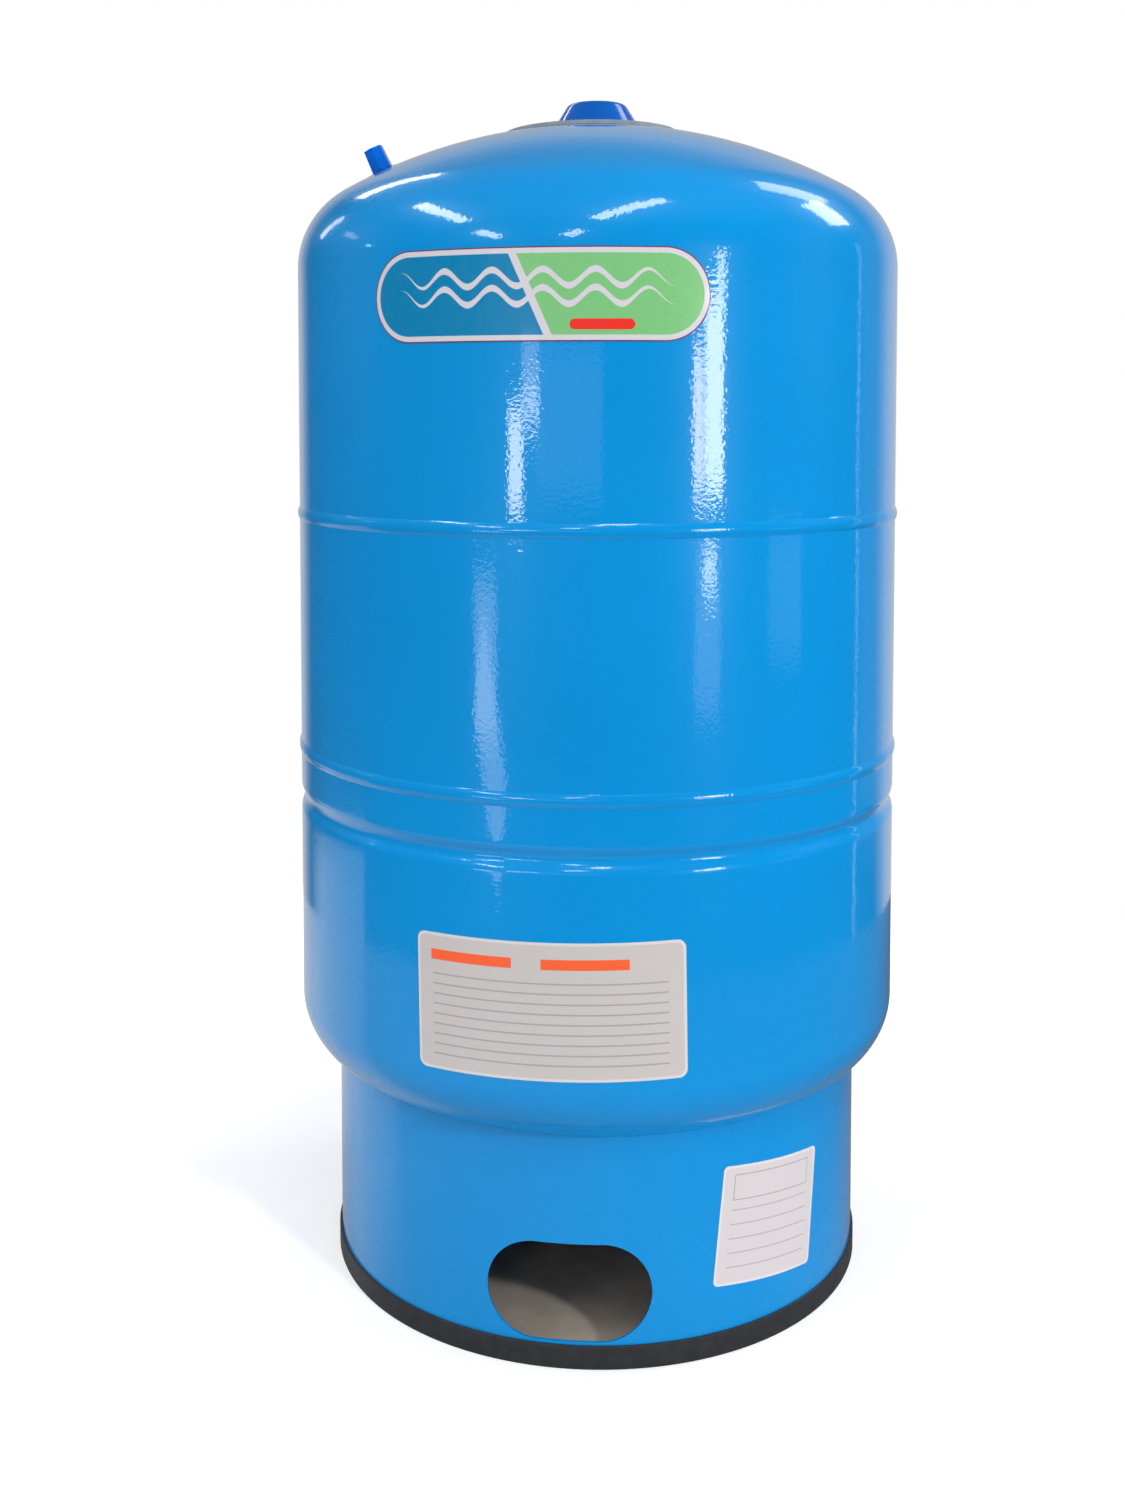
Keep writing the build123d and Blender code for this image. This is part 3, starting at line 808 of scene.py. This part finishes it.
valve_brass = mix_finish(
    "valve_brass", deep=(0.54, 0.37, 0.14), bright=(0.66, 0.48, 0.2),
    scales=(300.0, 900.0, 2500.0), rough=(0.22, 0.38), depth=0.00001, Metallic=1.0,
)
disc_rubber = mix_plain(
    "disc_rubber", deep=(0.022, 0.028, 0.036), bright=(0.034, 0.04, 0.05),
    grain=1400, rough=(0.5, 0.66), depth=0.00003,
)
spring_steel = mix_plain(
    "spring_steel", deep=(0.42, 0.42, 0.42), bright=(0.56, 0.56, 0.56),
    grain=2000, rough=(0.25, 0.38), depth=0.000005, Metallic=1.0,
)
fit_piece("air_valve_stem", turn_stem(), valve_brass, "valve_brass", "tank", "valve_stem")
fit_piece("air_valve_disc", cut_disc(), disc_rubber, "valve_disc_rubber", "tank", "valve_disc")
dress("valve_core", valve_brass)
dress("valve_pin", valve_brass)
dress("valve_seal", butyl_rubber)
spring = fit_piece(
    "air_valve_spring", wind_spring(), spring_steel, "spring_steel", "tank", "valve_spring"
)
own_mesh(spring)


# The valve's cap is a tapered hexagon of glossy blue plastic with a cone at its foot. It
# screws over the stem, and an O-ring in its roof seals against the stem's end.

cap_foot = 0.0023
cap_height = 0.0172
cap_low_half = 0.0065
cap_high_half = 0.0059
cap_cone_height = 0.0024
cap_cone_radius = 0.0049
cap_bore = 0.0042
cap_roof = 0.0165
cap_soft = 0.00035
cap_turn = radians(20)
cap_steps = 240
cap_blend = 0.35
cap_least_slope = 0.2


def soft_least(values, softness):
    """The least of some values, with the corners between them rounded off."""
    least = min(values)
    total = sum(2 ** ((least - value) / softness) for value in values)
    return least - softness * (total - 1) * cap_blend


def hex_reach(angle, height):
    """How far the cap's skin lies from its axis, at an angle and a height above its foot."""
    rise = height / cap_height
    half = cap_low_half + (cap_high_half - cap_low_half) * rise
    flats = [half / max(cos(angle - face * pi / 3), cap_least_slope) for face in range(6)]
    flats = [reach for reach in flats if reach < 2 * half]
    corner = cap_low_half / cos(pi / 6)
    cone = cap_cone_radius + (corner - cap_cone_radius) * height / cap_cone_height
    above = max(height - cap_height + cap_soft, 0)
    crown = half - cap_soft + sqrt(max(cap_soft**2 - above**2, 0))
    shrink = crown / half
    return min(soft_least(sorted(flats)[:2], cap_soft) * shrink, cone)


def mould_cap():
    """Turn a fine tube, then press its skin to the hexagon."""
    skin = bmesh.new()
    top = cap_foot + cap_height
    first = pen_down(skin, cap_bore, cap_foot)
    tip = line_to(skin, first, cap_cone_radius, cap_foot)
    tip = line_to(skin, tip, cap_cone_radius + cap_soft, cap_foot + cap_cone_height, steps=16)
    tip = line_to(skin, tip, cap_low_half, top - 2 * cap_soft, steps=20)
    tip = line_to(skin, tip, cap_low_half, top, steps=8)
    line_to(skin, tip, 0, top, steps=4)
    tip = line_to(skin, first, cap_bore, cap_roof)
    line_to(skin, tip, 0, cap_roof)
    turn_on_lathe(skin, cap_steps)
    for point in skin.verts:
        reach = hypot(point.co.x, point.co.y)
        if reach > cap_cone_radius - cap_soft / 10 and point.co.z > cap_foot:
            angle = point.co.to_2d().angle_signed(Vector((1, 0)))
            target = hex_reach(angle % (2 * pi), point.co.z - cap_foot)
            point.co.xy *= target / reach
    bmesh.ops.rotate(skin, verts=skin.verts[:], matrix=Matrix.Rotation(cap_turn, 3, "Z"))
    skin.transform(valve_seat)
    return skin


cap_plastic = mix_gloss("cap_plastic", (0.0, 0.12, 0.6), (0.0, 0.14, 0.68), grain=900)
fit_piece("air_valve_cap", mould_cap(), cap_plastic, "valve_cap_plastic", "valve_cap", "valve_cap")
dress("cap_o_ring", butyl_rubber)


# The upper label is a long pill of glossy printed film stuck on the dome's wall. Its real
# print isn't copied: it has two plain colour fields, a slanted divider, two wavy ribbons and a
# small capsule.

film = 0.00025
film_glue = 0.00005
film_slice = 0.002
fibre_scale, fibre_tones = 900.0, (0.97, 1.0)
ripple_scale, ripple_depth = 150.0, 0.000006
upper_size, upper_middle, upper_azimuth = (0.2012, 0.0518), 0.6181, -5.5
upper_rough = (0.24, 0.36)
outline_line, pale_band = 0.0007, 0.0036
wave_run, wave_rise, wave_wide, wave_heights = 0.029, 0.0045, 0.0034, (0.009, -0.001)
wave_taper = (0.05, 0.082)
divider_slant, divider_size = radians(-24), (0.0042, 0.2)
capsule_middle, capsule_size, capsule_corner = (0.04, -0.0165), (0.036, 0.006), 0.003
teal, green, red = (0.0, 0.205, 0.43), (0.19, 0.52, 0.2), (0.8, 0.03, 0.02)
plum, pale = (0.16, 0.03, 0.08), (0.62, 0.6, 0.66)


def cut_film(size, corner, tilt, radius, middle, azimuth):
    """Cut a rounded film flat, thicken it, slice it finely and wrap it round a wall."""
    width, height = size
    flat = bmesh.new()
    bmesh.ops.create_grid(flat, x_segments=1, y_segments=1, size=0.5)
    bmesh.ops.scale(flat, verts=flat.verts[:], vec=(width, height, 1))
    bmesh.ops.bevel(
        flat, geom=flat.verts[:], affect="VERTICES", offset=corner,
        segments=24, profile=0.5, material=-1,
    )
    bmesh.ops.remove_doubles(flat, verts=flat.verts[:], dist=film / 20)
    print_map = flat.loops.layers.uv.new("print")
    for slot in range(1, int(width / film_slice)):
        bmesh.ops.bisect_plane(
            flat, geom=flat.verts[:] + flat.edges[:] + flat.faces[:], dist=film / 100,
            plane_co=(slot * film_slice - width / 2, 0, 0), plane_no=(1, 0, 0),
        )
    grown = bmesh.ops.extrude_face_region(flat, geom=flat.faces[:])["geom"]
    bmesh.ops.translate(flat, verts=points_of(grown), vec=(0, 0, film))
    bmesh.ops.recalc_face_normals(flat, faces=flat.faces[:])
    for face in flat.faces:
        for corner_loop in face.loops:
            corner_loop[print_map].uv = corner_loop.vert.co.xy
    bmesh.ops.rotate(flat, verts=flat.verts[:], matrix=Matrix.Rotation(radians(tilt), 3, "Z"))
    for point in flat.verts:
        angle = point.co.x / radius + radians(azimuth)
        reach = radius + film_glue + point.co.z
        point.co = (reach * sin(angle), -reach * cos(angle), middle + point.co.y)
    return flat


def printed_place(tree):
    return put(tree, "ShaderNodeUVMap", {}, uv_map="print").outputs["UV"]


def vector_step(tree, operation, first, second=(0, 0, 0), out="Vector"):
    sockets = {0: first} if operation in ("ABSOLUTE", "LENGTH") else {0: first, 1: second}
    return put(tree, "ShaderNodeVectorMath", sockets, operation=operation).outputs[out]


def stamp(tree, place, middle, size, corner, soft=0.00012):
    """A mask that is 1 within a rounded box on the film."""
    half = (size[0] / 2 - corner, size[1] / 2 - corner, 1.0)
    offset = vector_step(tree, "SUBTRACT", place, (*middle, 0))
    beyond = vector_step(tree, "SUBTRACT", vector_step(tree, "ABSOLUTE", offset), half)
    outside = vector_step(tree, "MAXIMUM", beyond)
    reach = vector_step(tree, "LENGTH", outside, out="Value")
    return spread(tree, reach, 1, 0, corner - soft, corner + soft)


def ink(tree, paper, mask, colour):
    return blend_colours(tree, mask, paper, colour)


def print_film(tree, shader, colour, gloss):
    """Finish a printed film: faint fibres in the colour, a soft gloss and a smooth ripple."""
    fibres = spread(tree, mottle(tree, fibre_scale), *fibre_tones)
    toned = put(tree, "ShaderNodeMix", {
        0: 1.0, 6: colour, 7: fibres,
    }, data_type="RGBA", blend_type="MULTIPLY").outputs[2]
    ripple = mottle(tree, ripple_scale)
    wire(tree, shader, toned, spread(tree, ripple, *gloss), relief(tree, ripple, ripple_depth))


def reckon(tree, operation, first, second=0.0):
    """One step of arithmetic on values or other nodes' outputs."""
    return put(tree, "ShaderNodeMath", {0: first, 1: second}, operation=operation).outputs[0]


def axes_of(tree, place):
    return put(tree, "ShaderNodeSeparateXYZ", {0: place}).outputs


def pill(tree, place, inset):
    wide, high = upper_size[0] - 2 * inset, upper_size[1] - 2 * inset
    return stamp(tree, place, (0, 0), (wide, high), high / 2)


def wave(tree, place, height):
    """A pale ribbon that rises and falls along the film and thins out to both ends."""
    axes = axes_of(tree, place)
    swing = reckon(tree, "SINE", reckon(tree, "MULTIPLY", axes["X"], 2 * pi / wave_run))
    crest = spread(tree, swing, height - wave_rise, height + wave_rise, -1, 1)
    off = reckon(tree, "ABSOLUTE", reckon(tree, "SUBTRACT", axes["Y"], crest))
    thick = spread(tree, reckon(tree, "ABSOLUTE", axes["X"]), wave_wide / 2, -film, *wave_taper)
    return spread(tree, off, 1, 0, thick, reckon(tree, "ADD", thick, film))


def print_upper_film():
    """Two fields, a divider, two ribbons and a capsule inside a pale band with a thin outline."""
    finish, tree, shader = blank_finish(
        "upper_film", Coat_Weight=0.4, Coat_Roughness=0.06, Specular_IOR_Level=0.3
    )
    place = printed_place(tree)
    slant = put(tree, "ShaderNodeVectorRotate", {
        "Vector": place, "Angle": divider_slant,
    }, rotation_type="Z_AXIS").outputs["Vector"]
    side = spread(tree, axes_of(tree, slant)["X"], 0, 1, -film, film)
    fields = blend_colours(tree, side, teal, green)
    fields = ink(tree, fields, stamp(tree, slant, (0, 0), divider_size, film), pale)
    for height in wave_heights:
        fields = ink(tree, fields, wave(tree, place, height), pale)
    fields = ink(tree, fields, stamp(tree, place, capsule_middle, capsule_size, capsule_corner), red)
    colour = ink(tree, plum, pill(tree, place, outline_line), pale)
    print_film(tree, shader, ink(tree, colour, pill(tree, place, pale_band), fields), upper_rough)
    return finish


upper_film = cut_film(upper_size, upper_size[1] / 2, 0, wall_radius, upper_middle, upper_azimuth)
fit_piece(
    "dome_label", upper_film, print_upper_film(), "upper_label_film", "tank", "upper_label"
)


# The lower label is a pale film on the bowl's wall. In place of its real table it carries
# two plain colour bars and rows of fine grey rules.

lower_size, lower_corner, lower_tilt = (0.1585, 0.0789), 0.005, 1.0
lower_middle, lower_azimuth = 0.2185, -2.8
bar_middles, bar_size, bar_corner = ((-0.045, 0.027), (0.022, 0.027)), (0.05, 0.006), 0.0004
orange = (0.93, 0.115, 0.025)
rule_corner = 0.0003
paper_rough = (0.34, 0.46)


def print_form(name, size, edge, corner, rim, paper, marks, rows, top, pitch, rule, tone):
    """A pale film inside a thin lighter rim, which is a painted highlight of the film's edge, with
    plain marks and rows of fine rules.
    """
    finish, tree, shader = blank_finish(name, Coat_Weight=0.3, Coat_Roughness=0.08)
    place = printed_place(tree)
    # The lighter rim colour round the film is a painted highlight of its edge.
    inside = stamp(tree, place, (0, 0), (size[0] - 2 * edge, size[1] - 2 * edge), corner)
    colour = blend_colours(tree, inside, rim, paper)
    for middle, mark_size, mark_corner, mark_ink in marks:
        colour = ink(tree, colour, stamp(tree, place, middle, mark_size, mark_corner), mark_ink)
    for row in range(rows):
        line = stamp(tree, place, (0.0, top - row * pitch), rule, rule_corner)
        colour = ink(tree, colour, line, tone)
    print_film(tree, shader, colour, paper_rough)
    return finish


# The rim colour is a painted highlight along the film's edge.
lower_print = print_form(
    "lower_film", lower_size, edge=0.0016, corner=0.004,
    rim=(0.66, 0.64, 0.64), paper=(0.55, 0.52, 0.51),
    marks=[(middle, bar_size, bar_corner, orange) for middle in bar_middles],
    rows=9, top=0.016, pitch=0.0058, rule=(0.138, 0.0009), tone=(0.36, 0.35, 0.37),
)
lower_film = cut_film(
    lower_size, lower_corner, lower_tilt, wall_radius, lower_middle, lower_azimuth
)
fit_piece("bowl_label", lower_film, lower_print, "lower_label_film", "tank", "lower_label")


# The data label is a small pale film on the skirt, beside the hand hole. Its real data is
# left out: it carries an empty box and five thin rules.

data_size, data_corner, data_tilt = (0.077, 0.071), 0.003, -6.0
data_middle, data_azimuth = 0.0729, 43.0
data_paper = (0.64, 0.6, 0.62)
box_middle, box_outer, box_inner = (0.0, 0.0225), (0.061, 0.0155), (0.0597, 0.0142)
box_corner, box_ink = 0.0004, (0.4, 0.36, 0.34)

# The rim colour is a painted highlight along the film's edge.
data_print = print_form(
    "data_film", data_size, edge=0.0014, corner=0.002, rim=(0.72, 0.7, 0.72), paper=data_paper,
    marks=[
        (box_middle, box_outer, box_corner, box_ink),
        (box_middle, box_inner, rule_corner, data_paper),
    ],
    rows=5, top=0.009, pitch=0.0085, rule=(0.062, 0.0007), tone=(0.42, 0.4, 0.41),
)
data_film = cut_film(data_size, data_corner, data_tilt, skirt_radius, data_middle, data_azimuth)
fit_piece("skirt_label", data_film, data_print, "data_label_film", "tank", "data_label")


# The tank stands on a plain pale floor that is as bright as the white room round it and
# keeps the tank's shadow. In the tank's gloss the floor shows painted shade, grey on the left and
# dark on the right.

floor_radius = 0.85
under_tank, dust_fade = 0.167, 0.0018
near_lift, far_lift = 0.44, 1.0
fade_start, fade_end = 0.3, 0.8
scuff_scale, scuff_detail = 55.0, 4.0
dusty_tones = (0.54, 0.46, 0.37), (0.63, 0.55, 0.46)
clean_tones = (0.64, 0.64, 0.64), (0.67, 0.67, 0.67)
# Painted shade for reflections only: in the tank's gloss the floor turns grey on the left and dark
# on the right.
gloss_shade_left_tones, gloss_shade_left_edge = ((0.36, 0.36, 0.36), (0.66, 0.66, 0.66)), (-0.15, -0.1)
gloss_shade_right_tone, gloss_shade_right_edge = (0.1, 0.1, 0.1), (-0.3, 0.35)


def paint_floor():
    """Dusty under the tank and clean round it, with painted shade that only the tank's gloss sees.
    """
    finish, tree, shader = blank_finish("floor_white", Roughness=0.9, Specular_IOR_Level=0.1)
    place = object_place(tree)
    spot = axes_of(tree, place)
    path = put(tree, "ShaderNodeLightPath", {}).outputs
    scuffs = spread(tree, mottle(tree, scuff_scale, scuff_detail), 0, 1)
    # Painted shade: glossy rays see the floor grey to the left and dark to the right instead of its
    # clean tone.
    left = blend_colours(tree, spread(tree, spot["Y"], 0, 1, *gloss_shade_left_edge), *gloss_shade_left_tones)
    dim = blend_colours(tree, spread(tree, spot["X"], 0, 1, *gloss_shade_right_edge), left, gloss_shade_right_tone)
    clean = blend_colours(tree, scuffs, *clean_tones)
    clean = blend_colours(tree, path["Is Glossy Ray"], clean, dim)
    dusty = blend_colours(tree, scuffs, *dusty_tones)
    away = vector_step(tree, "LENGTH", place, out="Value")
    outside = spread(tree, away, 0, 1, under_tank, under_tank + dust_fade)
    tree.links.new(blend_colours(tree, outside, dusty, clean), shader.inputs["Base Color"])
    lift = spread(tree, away, near_lift, far_lift, fade_start, fade_end)
    shown = reckon(tree, "MULTIPLY", lift, outside)
    shown = reckon(tree, "MULTIPLY", shown, path["Is Camera Ray"])
    shader.inputs["Emission Color"].default_value = (1, 1, 1, 1)
    tree.links.new(shown, shader.inputs["Emission Strength"])
    return finish


floor = bmesh.new()
bmesh.ops.create_circle(floor, cap_ends=True, segments=96, radius=floor_radius)
floor_piece = set_down("pale_floor", floor)
floor_piece.data.materials.append(paint_floor())


# The room is white where the camera looks at it. The gloss sees a bright backdrop behind the
# tank, a dim studio in front, paler on the right, a grey ceiling and pale ground on the left.
# Everything else gets one even soft light.

backdrop_start, backdrop_end = 0.7, 0.84
backdrop_low, backdrop_high, backdrop_rise = 0.58, 0.45, (0.05, 0.3)
left_gloom, right_gloom, gloom_turn = 0.03, 0.005, (-0.6, 0.3)
side_glow, side_front, side_top = 0.13, (0.47, 0.56), (0.2, 0.4)
side_left, side_foot = (0, 0.2), (-0.28, -0.22)
ceiling_glow, ceiling_rise = 0.14, (0.45, 0.7)
ground_glow, ground_top = 0.7, (-0.27, -0.24)
ground_right, ground_front = (-0.8, -0.65), (0.02, 0.05)
soft_light = 0.42


def pick(tree, amount, first, second):
    return put(tree, "ShaderNodeMix", {0: amount, 2: first, 3: second}).outputs[0]


def light_room():
    """Set the brightness that each kind of ray finds in each direction."""
    room = bpy.data.worlds.new("white_room")
    bpy.context.scene.world = room
    room.use_nodes = True
    tree = room.node_tree
    sky = tree.nodes["Background"]
    aim = axes_of(tree, put(tree, "ShaderNodeTexCoord", {}).outputs["Generated"])
    gloom = spread(tree, aim["X"], left_gloom, right_gloom, *gloom_turn)
    beside = spread(tree, aim["Y"], 0, side_glow, *side_front)
    beside = reckon(tree, "MULTIPLY", beside, spread(tree, aim["Z"], 1, 0, *side_top))
    beside = reckon(tree, "MULTIPLY", beside, spread(tree, aim["X"], 0, 1, *side_left))
    beside = reckon(tree, "MULTIPLY", beside, spread(tree, aim["Z"], 0, 1, *side_foot))
    ground = spread(tree, aim["Z"], ground_glow, 0, *ground_top)
    ground = reckon(tree, "MULTIPLY", ground, spread(tree, aim["X"], 1, 0, *ground_right))
    ground = reckon(tree, "MULTIPLY", ground, spread(tree, aim["Y"], 0, 1, *ground_front))
    ceiling = spread(tree, aim["Z"], 0, ceiling_glow, *ceiling_rise)
    studio = reckon(tree, "MAXIMUM", gloom, beside)
    studio = reckon(tree, "MAXIMUM", studio, reckon(tree, "MAXIMUM", ceiling, ground))
    backdrop = spread(tree, aim["Z"], backdrop_low, backdrop_high, *backdrop_rise)
    behind = spread(tree, aim["Y"], 0, 1, backdrop_start, backdrop_end)
    path = put(tree, "ShaderNodeLightPath", {}).outputs
    mirrored = pick(tree, path["Is Glossy Ray"], soft_light, pick(tree, behind, studio, backdrop))
    direct = reckon(tree, "MAXIMUM", path["Is Camera Ray"], path["Is Transmission Ray"])
    sky.inputs["Color"].default_value = (1, 1, 1, 1)
    tree.links.new(pick(tree, direct, mirrored, 1.0), sky.inputs["Strength"])


light_room()


# The lamps are soft panels, windows and tubes, most of them in front of the tank. Each is small
# and bright enough to leave its own streak in the enamel, and together they stay at a plain level.

lamp_aim = (0.05, -0.15, 0.55)
white, warm_white, pale_warm = (1.0, 1.0, 1.0), (1.0, 0.96, 0.93), (1.0, 0.97, 0.94)
blush, cyan = (1.0, 0.86, 0.8), (0.35, 0.9, 1.0)


def hang_lamp(name, place, wide, high, glow, tint=white, mirrored=True, along=None):
    """A panel that faces the tank; its glow is the brightness that a reflection shows."""
    panel = bpy.data.lights.new(name, "AREA")
    panel.shape = "RECTANGLE"
    panel.size, panel.size_y = wide, high
    panel.energy = glow * pi * wide * high
    panel.color = tint
    lamp = bpy.data.objects.new(name, panel)
    lamp.location = place
    back = (Vector(place) - Vector(lamp_aim)).normalized()
    side = Vector(along or Vector((0, 0, 1)).cross(back)).normalized()
    back = (back - back.dot(side) * side).normalized()
    turn = Matrix((side, back.cross(side), back)).transposed()
    lamp.rotation_euler = turn.to_euler()
    lamp.visible_camera = False
    lamp.visible_glossy = mirrored
    bpy.context.scene.collection.objects.link(lamp)


def hang_tube(name, start, end, wide, glow):
    """A long panel between two points of the studio."""
    along = Vector(end) - Vector(start)
    middle = (Vector(start) + Vector(end)) / 2
    hang_lamp(name, middle, along.length, wide, glow, along=along)


hang_lamp("high_spot", (2.33, -2.62, 2.12), 0.25, 0.25, 240, mirrored=False)
hang_lamp("left_fill", (-3.3, 0.3, 1.5), 1.5, 1.5, 3.6, mirrored=False)
hang_lamp("right_fill", (3.3, 0.0, 1.3), 1.5, 1.5, 3.8, mirrored=False)
hang_lamp("tall_window", (3.07, -2.83, 0.58), 0.52, 0.62, 15, warm_white)
hang_lamp("tall_window_side", (2.76, -3.14, 0.5), 0.28, 0.46, 13, blush)
hang_lamp("tall_window_top", (3.2, -2.68, 0.96), 0.24, 0.14, 11)
hang_lamp("tall_window_foot", (2.98, -2.91, 0.07), 0.36, 0.13, 9)
hang_lamp("tall_window_haze", (2.94, -2.92, -0.12), 0.7, 0.5, 1.1, blush)
hang_lamp("far_window", (-1.66, -3.87, 0.38), 0.38, 0.34, 12, pale_warm)
hang_lamp("far_window_top", (-1.27, -4.0, 0.55), 0.42, 0.12, 9)
hang_lamp("far_window_haze", (-1.3, -4.0, 0.69), 0.42, 0.16, 2.5, blush)
hang_lamp("middle_haze", (-0.3, -4.14, 0.5), 1.7, 0.45, 0.45)
hang_lamp("low_haze", (-2.35, -3.42, -0.2), 0.6, 0.5, 2.0)
hang_tube("low_haze_side", (-2.5, -3.3, -0.2), (-1.95, -3.65, -0.75), 0.4, 2.2)
hang_lamp("right_haze", (4.03, -0.95, 0.0), 1.1, 0.4, 0.45)
hang_tube("left_tube", (-2.89, -0.28, 3.52), (-2.57, -2.42, 2.83), 0.36, 12)
hang_tube("right_tube", (0.31, -3.43, 2.99), (1.49, -1.71, 4.08), 0.38, 11)
hang_tube("left_far_tube", (-2.46, -3.0, 2.17), (-1.99, -3.52, 1.71), 0.36, 11)
hang_tube("right_far_tube", (-0.41, -4.02, 1.73), (0.03, -3.89, 2.19), 0.3, 11)
hang_tube("side_window", (2.78, 1.35, 3.25), (3.4, 1.54, 2.3), 0.9, 7)
hang_tube("side_window_rim", (1.9, 1.3, 3.95), (2.75, 1.95, 3.1), 0.8, 4.0)
hang_tube("edge_line", (3.64, 1.83, 1.6), (3.64, 1.83, -1.2), 0.08, 1.2)
hang_tube("back_window", (-2.52, 2.26, 2.82), (-1.6, 2.15, 3.65), 0.42, 6)
hang_tube("shoulder_window", (-3.22, 2.25, 1.69), (-3.18, 1.76, 2.45), 0.28, 3)
hang_tube("shoulder_glint", (-3.6, 1.0, 1.95), (-3.9, 0.4, 1.85), 0.2, 1.6)
hang_lamp("cyan_glint", (-4.03, -0.28, 1.45), 0.2, 0.12, 9, cyan)


# The camera stands in front of the tank, a little to its right, where the photograph was
# taken, and looks slightly down.

camera_distance = 1.0975
camera_azimuth = radians(5.3)
camera_height = 0.559
camera_tilt = radians(3.05)
camera_yaw = radians(1.18)
photo_height = 1500
camera_focus = 1648.7
camera_middle = 490
film_size = 36.0

view = bpy.data.cameras.new("view")
view.sensor_width = film_size
view.lens = camera_focus / photo_height * film_size
view.shift_y = (camera_middle - photo_height / 2) / photo_height
eye = bpy.data.objects.new("view", view)
eye.location = (
    camera_distance * sin(camera_azimuth), -camera_distance * cos(camera_azimuth), camera_height
)
eye.rotation_euler = (pi / 2 - camera_tilt, 0, camera_azimuth + camera_yaw)
bpy.context.scene.collection.objects.link(eye)
bpy.context.scene.camera = eye
bpy.context.scene.view_settings.view_transform = "Standard"
